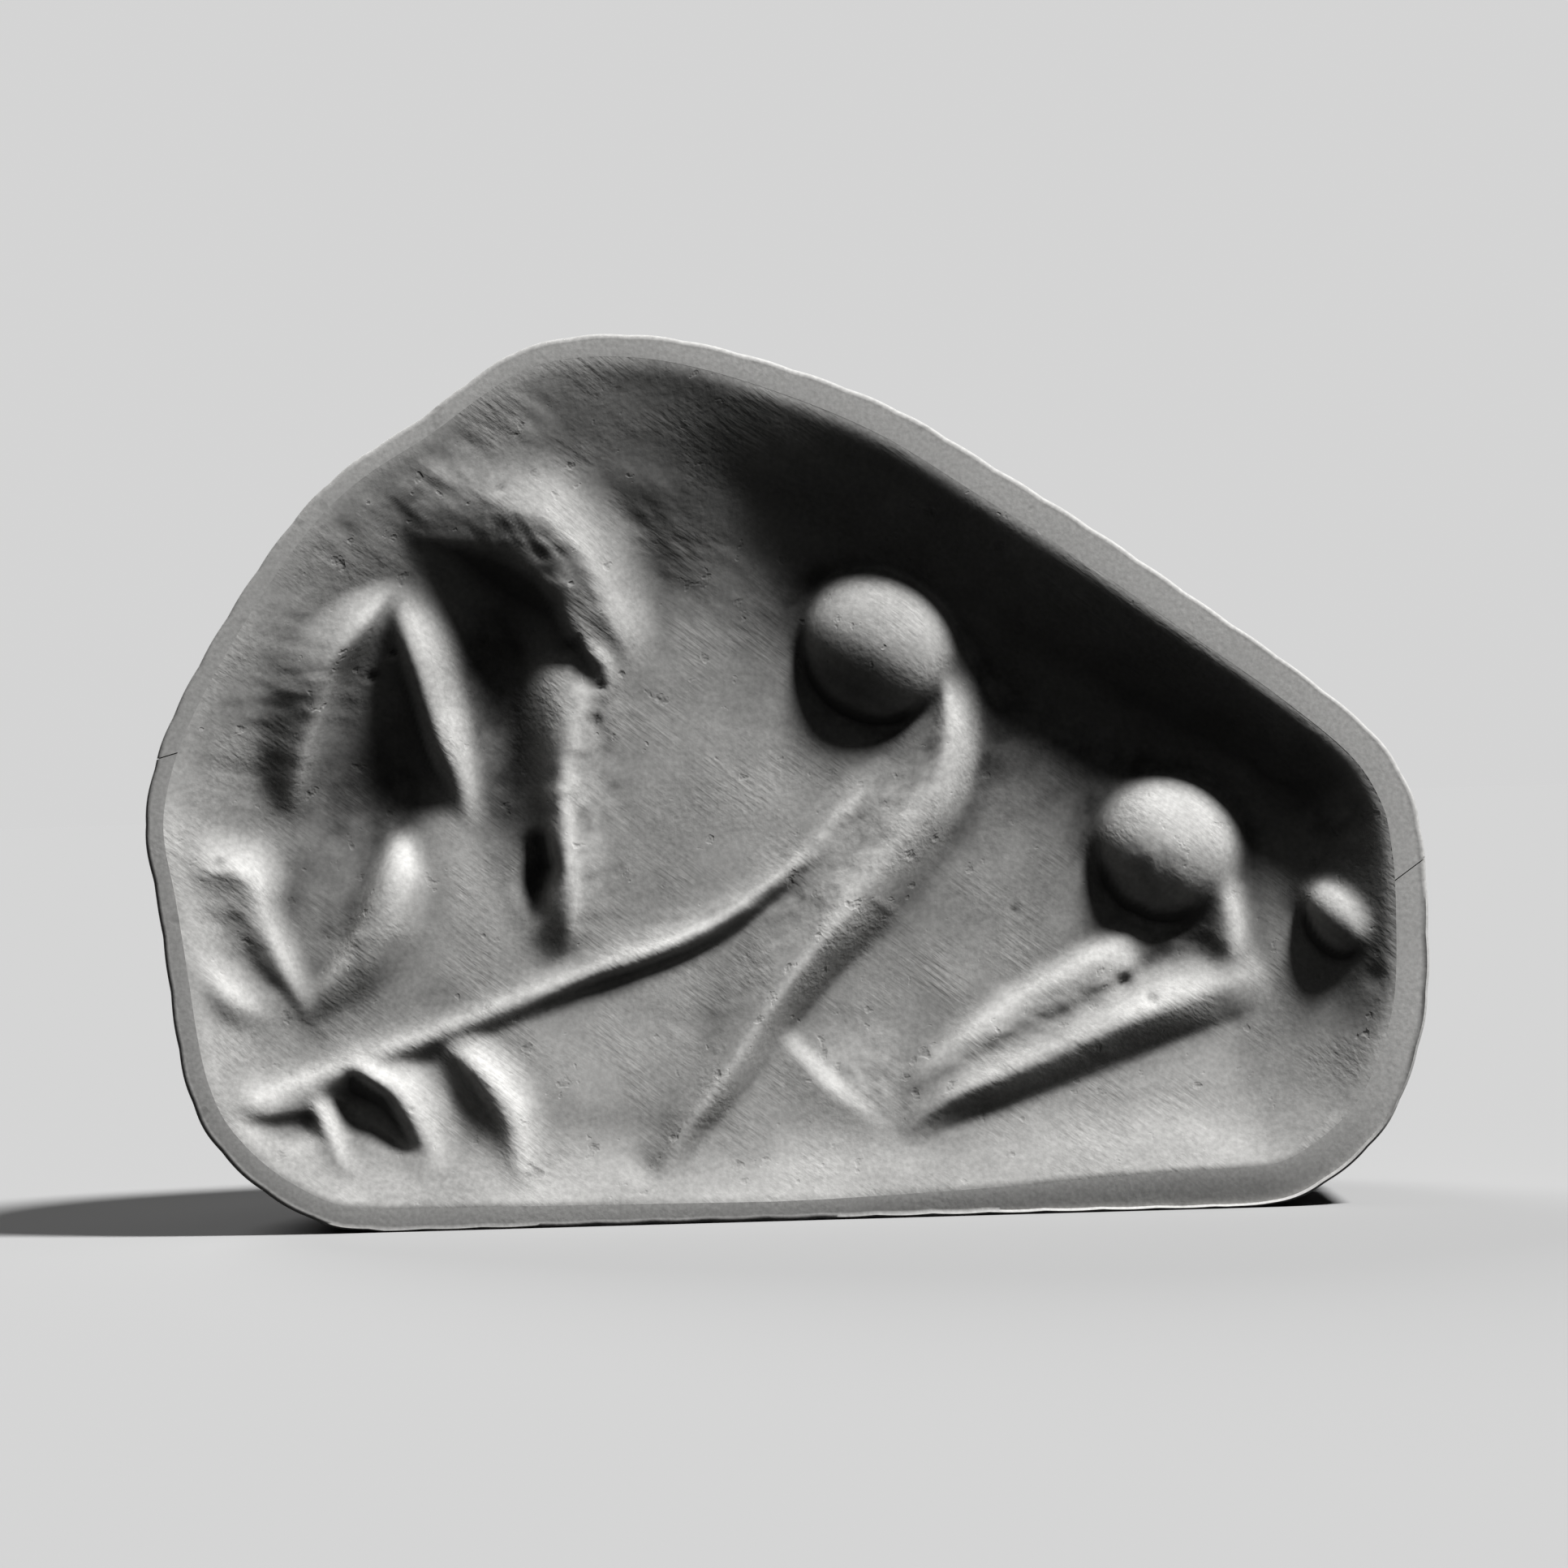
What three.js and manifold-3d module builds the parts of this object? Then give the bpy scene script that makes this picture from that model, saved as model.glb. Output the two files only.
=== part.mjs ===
// A stamp seal that stands on its foot: a carved stone face in a two-part rim, bedded on a pierced grip.
// Millimetres, +Z up. The face looks along -Y and +X is to its right. The origin is on the surface that the
// seal stands on, under its middle.
import * as THREE from "three";
import { mergeVertices } from "three/addons/utils/BufferGeometryUtils.js";
import Module from "manifold-3d";

// Overall size of the face, and how thick each layer is from front to back
const FACE_WIDTH = 23.7;
const FACE_HEIGHT = 16.5;
const RIM_THICKNESS = 3.2;
const BED_THICKNESS = 0.4;
const GRIP_DEPTH = 8.4;

// Rim
const RIM_CLEARANCE = 0.05; // between the rim and the stone that it holds
const SEAM_GAP = 0.06; // where the two halves of the rim meet
const LEFT_SEAM_HEIGHT = 8.8;
const LEFT_SEAM_TILT = 15; // degrees
const RIGHT_SEAM_HEIGHT = 6.4;
const RIGHT_SEAM_TILT = 35;

// Bed of cement behind the stone
const BED_INSET = 0.15; // how far it stays inside the outline

// Grip
const GRIP_BACK_WIDTH = 10.7; // of the flat at the back of the dome
const BORE_DIAMETER = 2.4; // for a string
const BORE_HEIGHT = 8.2;
const BORE_BEHIND_BED = 4.4;

// Sunk field of the face
const FIELD_DEPTH = 0.75; // of its level middle, below the rim
const MIDDLE_BLEND = 2.5; // over which the sloping wall levels out

// How fine the curves and the carved surface are
const POINTS_PER_BEND = 4;
const EDGE_STATIONS = 112;
const GRID_CELLS = 72; // across the carved surface, both ways
const GRIP_STEPS = 9;
const BORE_SIDES = 24;

// The arch of the outline as drawn, anticlockwise from the right end of the foot to its left end
const ARCH = [
  [8.0, 0.0], [9.05, 0.08], [9.95, 0.5], [10.85, 1.3], [11.4, 2.3], [11.78, 3.7], [11.84, 5.5],
  [11.78, 6.7], [11.58, 7.65], [10.95, 8.7], [9.6, 9.9], [8.0, 11.1], [5.95, 12.6], [4.15, 13.8],
  [2.25, 15.0], [0.2, 15.85],
  [-1.75, 16.4], [-3.35, 16.52], [-4.6, 16.3], [-5.5, 15.8], [-6.55, 15.05], [-7.7, 14.35], [-8.55, 13.65],
  [-9.4, 12.65], [-10.3, 11.35], [-11.1, 10.0], [-11.6, 8.85], [-11.84, 7.6], [-11.65, 6.2], [-11.5, 4.9],
  [-11.35, 3.55], [-11.15, 2.6], [-10.75, 1.75], [-9.9, 0.85], [-8.75, 0.18], [-7.7, 0.0],
];

// Centre that the rim's bearings are taken from, as drawn
const MIDDLE = [0, 7];

// Round the face by bearing in degrees: width of the rim, length and depth of the sloping wall, and how far
// the rim falls away at its outer edge
const AROUND = [
  [-180, 0.35, 2.4, 0.75, 0.02], [-150, 0.45, 1.8, 0.7, 0.03], [-115, 0.4, 1.5, 0.5, 0.03],
  [-90, 0.36, 1.5, 0.42, 0.03], [-62, 0.5, 1.4, 0.38, 0.08], [-38, 0.8, 1.3, 0.45, 0.14],
  [-12, 0.6, 1.8, 0.6, 0.04], [5, 0.6, 2.4, 0.7, 0.02], [25, 0.62, 3.4, 0.8, 0.02],
  [45, 0.62, 3.9, 0.9, 0.02], [70, 0.6, 4.1, 0.92, 0.02], [90, 0.5, 4.0, 0.8, 0.02],
  [110, 0.4, 3.6, 0.55, 0.02], [135, 0.35, 3.2, 0.45, 0.02], [160, 0.35, 2.6, 0.6, 0.02],
  [180, 0.35, 2.4, 0.75, 0.02],
];
const EDGE_BEVEL = 0.08; // the rim's outer edge is nearly sharp

// Broad hollows in the field, and one broad swell, which has a depth below zero
const BOWLS = {
  underRightWall: { at: [3.6, 10.9], radii: [9.0, 4.0], depth: 0.45, turn: -33 },
  underHead: { at: [-7.6, 8.6], radii: [3.4, 2.6], depth: 0.2, turn: 56 },
  besideNeck: { at: [-5.1, 8.8], radii: [3.0, 0.75], depth: 0.42, turn: 97 },
  betweenEars: { at: [-7.4, 8.7], radii: [1.5, 0.8], depth: 0.14, turn: 60 },
  underLongLeg: { at: [-3.4, 2.8], radii: [2.6, 1.2], depth: -0.12, turn: 25 },
};

// The animal. Its joints are the upper halves of balls, each with its half widths, its half depth and the
// level of its top against the rim. A ridge stands on the field and runs through points of x, z, height, and
// its width to the left and to the right.
const BALLS = {
  shoulder: { at: [1.8, 10.55], radii: [1.65, 1.6], top: -0.24, deep: 1.3, turn: -37 },
  haunch: { at: [7.1, 6.65], radii: [1.55, 1.5], top: -0.2, deep: 1.25, turn: -33 },
  tail: { at: [10.42, 5.2], radii: [1.1, 0.75], top: -0.14, deep: 0.8, turn: -50 },
};
const RIDGES = {
  crest: {
    falls: ["shelf", "swell"],
    path: [
      [-2.95, 9.8, 0, 0.9, 0.6], [-3.0, 10.8, 0.34, 1.5, 0.85], [-3.2, 11.4, 0.54, 1.8, 1.0],
      [-3.48, 12.05, 0.62, 1.8, 1.1], [-3.9, 12.65, 0.62, 1.9, 1.15], [-4.45, 13.1, 0.58, 2.0, 1.15],
      [-5.15, 13.4, 0.44, 1.9, 1.1], [-5.9, 13.7, 0.18, 1.4, 1.0], [-6.7, 14.0, 0.02, 0.9, 0.8],
      [-7.3, 14.2, 0, 0.5, 0.5],
    ],
  },
  brow: {
    falls: ["brow", "cliff"],
    path: [
      [-6.9, 12.9, 0, 0.5, 0.6], [-6.1, 12.65, 0.05, 0.9, 1.2], [-5.2, 12.3, 0.18, 1.0, 1.4],
      [-4.4, 12.05, 0.34, 0.9, 1.6], [-3.95, 11.5, 0.4, 0.6, 1.5], [-3.7, 11.0, 0, 0.4, 1.0],
    ],
  },
  cheek: {
    falls: ["bell", "cliff"],
    path: [
      [-4.1, 11.7, 0, 0.4, 0.6], [-3.9, 11.3, 0.36, 0.5, 1.1], [-3.62, 10.85, 0.44, 0.65, 1.3],
      [-3.38, 10.4, 0.42, 0.7, 1.3], [-3.35, 9.8, 0.2, 0.6, 1.0], [-3.5, 9.2, 0, 0.5, 0.8],
    ],
  },
  neck: {
    falls: ["fade", "bell"],
    path: [
      [-3.2, 10.9, 0, 0.8, 0.8], [-3.6, 10.1, 0.46, 0.9, 1.2], [-3.98, 9.2, 0.54, 0.9, 1.35],
      [-4.2, 8.3, 0.54, 0.9, 1.4], [-4.22, 7.4, 0.52, 0.9, 1.3], [-4.12, 6.5, 0.46, 0.85, 1.1],
      [-4.1, 5.7, 0.32, 0.7, 1.0], [-4.25, 4.8, 0, 0.5, 0.6],
    ],
  },
  rightEar: {
    falls: ["cliff", "bell"],
    path: [
      [-5.82, 7.4, 0, 0.3, 0.25], [-6.05, 8.2, 0.3, 0.9, 0.5], [-6.4, 9.0, 0.44, 1.2, 0.75],
      [-6.7, 10.0, 0.46, 1.3, 0.8], [-6.95, 11.0, 0.38, 1.1, 0.8], [-7.15, 12.0, 0, 0.5, 0.5],
    ],
  },
  leftEar: {
    falls: ["fade", "bell"],
    path: [
      [-7.0, 12.0, 0, 0.4, 0.3], [-7.6, 11.2, 0.44, 0.8, 0.7], [-8.2, 10.35, 0.52, 0.9, 0.95],
      [-8.7, 9.4, 0.44, 0.8, 0.95], [-9.1, 8.5, 0.24, 0.6, 0.75], [-9.4, 7.8, 0, 0.4, 0.4],
    ],
  },
  muzzle: {
    falls: ["bell", "fade"],
    path: [
      [-11.2, 6.5, 0, 0.5, 0.5], [-10.6, 6.8, 0.2, 0.8, 0.9], [-10.05, 6.6, 0.32, 0.8, 1.0],
      [-9.8, 5.95, 0.26, 0.5, 1.1], [-9.55, 5.3, 0.25, 0.45, 1.0], [-9.25, 4.6, 0.2, 0.4, 0.7],
      [-8.9, 3.9, 0, 0.2, 0.3],
    ],
  },
  jaw: {
    falls: ["bell", "bell"],
    path: [
      [-11.3, 5.2, 0, 0.4, 0.4], [-10.8, 4.75, 0.14, 0.5, 0.5], [-10.2, 4.3, 0.18, 0.5, 0.5],
      [-9.4, 3.9, 0, 0.4, 0.4],
    ],
  },
  beard: {
    falls: ["bell", "round"],
    path: [
      [-7.1, 7.75, 0, 0.3, 0.25], [-7.15, 7.15, 0.34, 0.5, 0.36], [-7.3, 6.5, 0.5, 0.75, 0.46],
      [-7.6, 5.85, 0.46, 0.9, 0.46], [-8.0, 5.15, 0.36, 0.85, 0.42], [-8.5, 4.5, 0.22, 0.6, 0.36],
      [-9.0, 3.85, 0, 0.4, 0.3],
    ],
  },
  foreLeg: {
    falls: ["cliff", "round"],
    path: [
      [-11.0, 2.3, 0, 0.8, 0.4], [-10.2, 2.45, 0.16, 1.0, 0.5], [-9.5, 2.7, 0.26, 1.0, 0.65],
      [-8.6, 3.0, 0.28, 0.9, 0.6], [-7.4, 3.4, 0.24, 0.8, 0.45], [-6.2, 3.8, 0.21, 0.7, 0.36],
      [-5.0, 4.25, 0.2, 0.65, 0.36], [-3.8, 4.7, 0.22, 0.7, 0.36], [-2.5, 5.1, 0.23, 0.75, 0.36],
      [-1.5, 5.5, 0.24, 0.75, 0.36], [-0.6, 6.05, 0.25, 0.7, 0.36], [0.3, 6.75, 0.25, 0.65, 0.36],
      [1.1, 7.55, 0.22, 0.6, 0.34], [1.9, 8.45, 0, 0.5, 0.4],
    ],
  },
  firstToe: {
    falls: ["fade", "round"],
    path: [
      [-8.2, 0.95, 0, 0.2, 0.2], [-8.5, 1.5, 0.16, 0.3, 0.28], [-8.8, 2.2, 0.24, 0.35, 0.3],
      [-8.95, 2.8, 0, 0.3, 0.3],
    ],
  },
  secondToe: {
    falls: ["fade", "bell"],
    path: [
      [-6.7, 0.9, 0, 0.3, 0.5], [-6.95, 1.7, 0.32, 0.9, 0.9], [-7.4, 2.45, 0.44, 1.3, 0.9],
      [-8.0, 3.0, 0.4, 1.0, 0.5], [-8.4, 3.3, 0, 0.5, 0.4],
    ],
  },
  thirdToe: {
    falls: ["fade", "bell"],
    path: [
      [-5.1, 0.7, 0, 0.2, 0.4], [-5.2, 1.5, 0.22, 0.6, 0.7], [-5.45, 2.3, 0.34, 0.9, 0.8],
      [-5.95, 3.0, 0.34, 0.9, 0.7], [-6.6, 3.5, 0, 0.5, 0.5],
    ],
  },
  middleLeg: {
    falls: ["fade", "wedge"],
    path: [
      [-2.6, 0.8, 0, 0.3, 0.3], [-2.0, 1.7, 0.3, 0.6, 0.45], [-1.2, 2.75, 0.44, 0.9, 0.6],
      [-0.5, 3.75, 0.52, 1.3, 0.68], [0.2, 4.65, 0.58, 1.7, 0.74], [0.85, 5.4, 0.62, 1.9, 0.78],
      [1.6, 6.3, 0.64, 1.8, 0.8], [2.25, 7.2, 0.64, 1.5, 0.8], [2.8, 8.1, 0.64, 1.2, 0.8],
      [3.05, 9.1, 0.6, 1.1, 0.8], [3.0, 10.0, 0.4, 1.0, 0.8], [2.8, 11.0, 0, 0.8, 0.5],
    ],
  },
  spur: {
    falls: ["fade", "round"],
    path: [
      [1.7, 1.5, 0, 0.3, 0.25], [0.8, 2.25, 0.1, 0.9, 0.3], [0.1, 2.95, 0.12, 1.0, 0.32],
      [-0.5, 3.65, 0, 0.8, 0.3],
    ],
  },
  shank: {
    falls: ["bell", "bell"],
    path: [
      [7.7, 7.8, 0, 0.5, 0.5], [8.05, 6.4, 0.26, 0.5, 0.7], [8.2, 5.0, 0.34, 0.5, 0.75],
      [8.1, 3.8, 0, 0.4, 0.6],
    ],
  },
  upperEdgeOfHindLeg: {
    falls: ["brow", "wedge"],
    path: [
      [6.6, 5.3, 0, 0.5, 0.3], [5.8, 4.75, 0.3, 0.8, 0.4], [4.6, 4.1, 0.34, 0.8, 0.4],
      [3.4, 3.4, 0.3, 0.7, 0.4], [2.5, 2.7, 0.18, 0.5, 0.35], [2.1, 2.0, 0, 0.4, 0.3],
    ],
  },
  hindLeg: {
    falls: ["soft", "wedge"],
    path: [
      [2.0, 1.5, 0, 0.4, 0.3], [3.0, 2.2, 0.32, 0.6, 0.5], [4.0, 2.6, 0.42, 0.8, 0.56],
      [5.0, 3.0, 0.46, 0.9, 0.62], [6.0, 3.4, 0.48, 0.9, 0.66], [7.0, 3.75, 0.46, 0.9, 0.66],
      [8.2, 4.15, 0.26, 0.9, 0.7], [8.9, 4.3, 0, 0.5, 0.5],
    ],
  },
};

// How a flank falls: height left = (1 - share ** power) ** again, for the share of the way from crest to foot
const FALLS = {
  round: [2, 1], wedge: [1.15, 1], brow: [3, 1], soft: [2, 2], bell: [1.5, 1.5],
  swell: [1.5, 2.5], fade: [1, 2], cliff: [1, 3],
};
const SHELF = { share: 0.42, drop: 0.2, again: 2.2 }; // a flank that runs almost level and then falls
const BALL_POWER = 1.7; // 2 is a true ball, and less gives a top that is a little pointed
const WALL_EASES = 0.5; // share of the wall over which its slope dies out at the foot
const WALL_LEVELS_FROM = 0.6; // share of the wall from which it runs into the level middle
const RIM_CLEAR = 0.7; // the ridges fade out over this distance from the rim
const JOIN_BLEND = 0.08; // how softly one form of the animal runs into the next

// The layers from front to back
const TOTAL_DEPTH = RIM_THICKNESS + BED_THICKNESS + GRIP_DEPTH;
const FRONT = -TOTAL_DEPTH / 2;
const BED_FRONT = FRONT + RIM_THICKNESS;
const GRIP_FRONT = BED_FRONT + BED_THICKNESS;

// Materials
const stone = new THREE.MeshStandardMaterial({ color: 0xc4c3bf, roughness: 0.85, metalness: 0 });
const rimStone = new THREE.MeshStandardMaterial({ color: 0xc1c0bc, roughness: 0.7, metalness: 0 });
const cement = new THREE.MeshStandardMaterial({ color: 0x8f8a80, roughness: 0.95, metalness: 0 });
const gripStone = new THREE.MeshStandardMaterial({ color: 0xc0beb9, roughness: 0.75, metalness: 0 });

const wasm = await Module();
wasm.setup();

function solid(geometry) {
  const bare = geometry.clone();
  bare.deleteAttribute("normal");
  bare.deleteAttribute("uv");
  const merged = mergeVertices(bare, 1e-4);
  return new wasm.Manifold(
    new wasm.Mesh({
      numProp: 3,
      vertProperties: merged.attributes.position.array,
      triVerts: new Uint32Array(merged.index.array),
    }),
  );
}

function geometryOf(manifold) {
  const mesh = manifold.getMesh();
  const geometry = new THREE.BufferGeometry();
  geometry.setAttribute("position", new THREE.BufferAttribute(mesh.vertProperties, mesh.numProp));
  geometry.setIndex(new THREE.BufferAttribute(mesh.triVerts, 1));
  geometry.computeVertexNormals();
  return geometry;
}

// The outline, from the drawn arch to the real width and height
const archPoints = new THREE.SplineCurve(ARCH.map(([x, z]) => new THREE.Vector2(x, z))).getPoints(
  POINTS_PER_BEND * (ARCH.length - 1),
);
const drawn = new THREE.Box2().setFromPoints(archPoints);
const drawnSize = drawn.getSize(new THREE.Vector2());
const STRETCH_X = FACE_WIDTH / drawnSize.x;
const STRETCH_Z = FACE_HEIGHT / drawnSize.y;
const drawnMiddleX = (drawn.min.x + drawn.max.x) / 2;

function onFace(x, z) {
  return new THREE.Vector2((x - drawnMiddleX) * STRETCH_X, z * STRETCH_Z);
}

const arch = new THREE.Path(archPoints.map((p) => onFace(p.x, p.y)));
const outline = arch.clone();
outline.closePath();
const middle = onFace(...MIDDLE);

// Points at even steps round the whole outline, and round the arch alone, which leaves the foot one edge
const stations = outline.getSpacedPoints(EDGE_STATIONS).slice(0, EDGE_STATIONS);
const archStations = arch.getSpacedPoints(EDGE_STATIONS);

function inward(points) {
  return points.map((p, i) => {
    const before = points[(i + points.length - 1) % points.length];
    const after = points[(i + 1) % points.length];
    const along = after.clone().sub(before).normalize();
    return new THREE.Vector2(-along.y, along.x);
  });
}

// Smoothly read one column of AROUND at a point of the face
function around(point, column) {
  const bearing = THREE.MathUtils.radToDeg(Math.atan2(point.y - middle.y, point.x - middle.x));
  const i = AROUND.findIndex((row) => row[0] >= bearing);
  const high = AROUND[Math.max(i, 1)];
  const low = AROUND[Math.max(i, 1) - 1];
  const share = THREE.MathUtils.smoothstep(bearing, low[0], high[0]);
  return THREE.MathUtils.lerp(low[column], high[column], share);
}

function offsetEdge(points, distanceAt) {
  const ways = inward(points);
  return points.map((p, i) => p.clone().addScaledVector(ways[i], distanceAt(p)));
}

const sides = stations.map((a, i) => new THREE.Line3(
  new THREE.Vector3(a.x, a.y, 0),
  new THREE.Vector3(stations[(i + 1) % stations.length].x, stations[(i + 1) % stations.length].y, 0),
));
const nearest = new THREE.Vector3();

function distanceToEdge(point) {
  const p = new THREE.Vector3(point.x, point.y, 0);
  return Math.min(...sides.map((side) => side.closestPointToPoint(p, true, nearest).distanceTo(p)));
}

// Place of a point along and across a direction in degrees, as shares of two radii about a drawn centre
function sharesOf(point, at, radii, turn) {
  const angle = THREE.MathUtils.degToRad(-turn);
  const out = point.clone().sub(onFace(...at)).rotateAround(new THREE.Vector2(), angle);
  return Math.hypot(out.x / radii[0], out.y / radii[1]);
}

// Height of the sunk field against the rim
function fieldHeight(point, fromRim) {
  const wall = around(point, 2);
  const share = THREE.MathUtils.clamp(fromRim / wall, 0, 1);
  const eased = Math.max(share - (1 - WALL_EASES), 0) ** 2 / (2 * WALL_EASES);
  const slope = (around(point, 3) * (share - eased)) / (1 - WALL_EASES / 2);
  const levels = wall * WALL_LEVELS_FROM;
  const level = THREE.MathUtils.smoothstep(fromRim, levels, levels + MIDDLE_BLEND);
  const bowls = Object.values(BOWLS).reduce((sum, { at, radii, depth, turn }) => {
    return sum + depth * Math.exp(-(sharesOf(point, at, radii, turn) ** 2));
  }, 0);
  return -THREE.MathUtils.lerp(slope, FIELD_DEPTH, level) - bowls * THREE.MathUtils.smoothstep(share, 0, 1);
}

function fall(kind, share) {
  if (kind === "shelf") {
    if (share < SHELF.share) return 1 - (SHELF.drop * share) / SHELF.share;
    return (1 - SHELF.drop) * (1 - (share - SHELF.share) / (1 - SHELF.share)) ** SHELF.again;
  }
  const [power, again] = FALLS[kind];
  return (1 - share ** power) ** again;
}

// A ridge as short straight runs, each end holding place, height and widths
const ridges = Object.values(RIDGES).map(({ falls, path }) => {
  const place = new THREE.SplineCurve(path.map(([x, z]) => onFace(x, z)));
  const count = POINTS_PER_BEND * (path.length - 1);
  const points = place.getPoints(count).map((p, i) => {
    const t = (i / count) * (path.length - 1);
    const first = Math.min(Math.floor(t), path.length - 2);
    const values = [2, 3, 4].map((k) => THREE.MathUtils.lerp(path[first][k], path[first + 1][k], t - first));
    return { p, height: values[0], left: values[1], right: values[2] };
  });
  const widest = Math.max(...path.map((row) => Math.max(row[3], row[4])));
  const reach = new THREE.Box2().setFromPoints(points.map(({ p }) => p)).expandByScalar(widest);
  return { falls, points, reach };
});

function ridgeHeight({ falls, points, reach }, point) {
  if (!reach.containsPoint(point)) return 0;
  let best = { distance: Infinity };
  for (let i = 1; i < points.length; i += 1) {
    const a = points[i - 1];
    const b = points[i];
    const along = b.p.clone().sub(a.p);
    const from = point.clone().sub(a.p);
    const share = THREE.MathUtils.clamp(from.dot(along) / along.lengthSq(), 0, 1);
    const distance = a.p.clone().addScaledVector(along, share).distanceTo(point);
    if (distance < best.distance) {
      const side = along.cross(from) > 0 ? "left" : "right";
      const width = THREE.MathUtils.lerp(a[side], b[side], share);
      const height = THREE.MathUtils.lerp(a.height, b.height, share);
      best = { distance, side, width, height };
    }
  }
  return best.height * fall(falls[best.side === "left" ? 0 : 1], Math.min(best.distance / best.width, 1));
}

// The higher of two forms, with a soft fillet where they meet
function join(a, b) {
  const overlap = Math.max(JOIN_BLEND - Math.abs(a - b), 0);
  return Math.max(a, b) + (a !== 0 && b !== 0 ? (overlap * overlap) / (4 * JOIN_BLEND) : 0);
}

// Height of the whole face against the rim
function faceHeight(point) {
  const fromRim = distanceToEdge(point) - around(point, 1);
  const strokes = ridges.map((ridge) => ridgeHeight(ridge, point)).reduce(join, 0);
  const ground = fieldHeight(point, fromRim) + strokes * THREE.MathUtils.smoothstep(fromRim, 0, RIM_CLEAR);
  return Object.values(BALLS).reduce((height, { at, radii, top, deep, turn }) => {
    const share = sharesOf(point, at, radii, turn);
    return share < 1 ? join(height, top - deep * (1 - Math.sqrt(1 - share ** BALL_POWER))) : height;
  }, ground);
}

// Distance from the middle to a closed line of points at a bearing in radians
function radiusAt(points, bearing) {
  const ray = new THREE.Vector2(Math.cos(bearing), Math.sin(bearing));
  let radius = 0;
  points.forEach((a, i) => {
    const from = a.clone().sub(middle);
    const to = points[(i + 1) % points.length].clone().sub(middle);
    const [start, end] = [ray.cross(from), ray.cross(to)];
    if (start > 0 !== end > 0) {
      const crossing = from.lerp(to, start / (start - end)).dot(ray);
      radius = Math.max(radius, crossing);
    }
  });
  return radius;
}

// The carved stone: a square grid bent to a disc and stretched to the outline of the field, with a flat back
function makeFace() {
  const edge = offsetEdge(stations, (p) => around(p, 1) + RIM_CLEARANCE);
  const plane = new THREE.PlaneGeometry(2, 2, GRID_CELLS, GRID_CELLS);
  const flat = plane.attributes.position;
  const row = GRID_CELLS + 1;
  const positions = [];
  for (let i = 0; i < flat.count; i += 1) {
    const u = flat.getX(i);
    const v = flat.getY(i);
    const disc = new THREE.Vector2(u * Math.sqrt(1 - (v * v) / 2), v * Math.sqrt(1 - (u * u) / 2));
    const reach = disc.length() * radiusAt(edge, disc.angle());
    const p = middle.clone().add(disc.setLength(reach));
    positions.push(p.x, FRONT - faceHeight(p), p.y);
  }
  const border = [];
  for (let i = 0; i < row - 1; i += 1) border.push(i);
  for (let i = 0; i < row - 1; i += 1) border.push(i * row + row - 1);
  for (let i = row - 1; i > 0; i -= 1) border.push((row - 1) * row + i);
  for (let i = row - 1; i > 0; i -= 1) border.push(i * row);
  const index = [...plane.index.array];
  const back = border.map((i) => new THREE.Vector2(positions[3 * i], positions[3 * i + 2]));
  back.forEach((p) => positions.push(p.x, BED_FRONT, p.y));
  border.forEach((front, i) => {
    const next = (i + 1) % border.length;
    index.push(front, border[next], flat.count + next);
    index.push(front, flat.count + next, flat.count + i);
  });
  positions.push(middle.x, BED_FRONT, middle.y);
  const centre = flat.count + back.length;
  back.forEach((_, i) => index.push(flat.count + i, flat.count + ((i + 1) % back.length), centre));
  const geometry = new THREE.BufferGeometry();
  geometry.setAttribute("position", new THREE.Float32BufferAttribute(positions, 3));
  geometry.setIndex(index);
  geometry.computeVertexNormals();
  return geometry;
}

// The whole rim, as a section of five corners carried round the outline
function rimRing() {
  const bevelled = offsetEdge(stations, () => EDGE_BEVEL);
  const inner = offsetEdge(stations, (p) => around(p, 1));
  const lip = stations.map((p) => FRONT + around(p, 4));
  const loops = [
    { points: stations, y: () => BED_FRONT },
    { points: stations, y: (i) => lip[i] + EDGE_BEVEL },
    { points: bevelled, y: (i) => lip[i] },
    { points: inner, y: () => FRONT },
    { points: inner, y: () => BED_FRONT },
  ];
  const positions = loops.flatMap(({ points, y }) => points.flatMap((p, i) => [p.x, y(i), p.y]));
  const index = [];
  const count = stations.length;
  loops.forEach((_, k) => {
    const here = k * count;
    const there = ((k + 1) % loops.length) * count;
    for (let i = 0; i < count; i += 1) {
      const next = (i + 1) % count;
      index.push(here + i, here + next, there + next);
      index.push(here + i, there + next, there + i);
    }
  });
  const geometry = new THREE.BufferGeometry();
  geometry.setAttribute("position", new THREE.Float32BufferAttribute(positions, 3));
  geometry.setIndex(index);
  return geometry;
}

// A thin cut through the rim at one of its two seams
function seamCut(side, height, tilt) {
  const longEnough = FACE_WIDTH / 4;
  const cut = new THREE.BoxGeometry(longEnough, 3 * RIM_THICKNESS, SEAM_GAP);
  cut.rotateY(-THREE.MathUtils.degToRad(tilt));
  cut.translate((side * FACE_WIDTH) / 2, BED_FRONT, height);
  return solid(cut);
}

function makeRims() {
  const halves = solid(rimRing())
    .subtract(seamCut(-1, LEFT_SEAM_HEIGHT, LEFT_SEAM_TILT))
    .subtract(seamCut(1, RIGHT_SEAM_HEIGHT, RIGHT_SEAM_TILT))
    .decompose();
  const top = (half) => half.boundingBox().max[2];
  halves.sort((a, b) => top(b) - top(a));
  return halves.map(geometryOf);
}

// A slab with the outline of the points, from one depth to another
function slab(points, from, to, steps) {
  const shape = new THREE.Shape(points);
  const geometry = new THREE.ExtrudeGeometry(shape, { depth: to - from, steps, bevelEnabled: false });
  geometry.rotateX(Math.PI / 2);
  geometry.translate(0, to, 0);
  return geometry;
}

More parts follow.
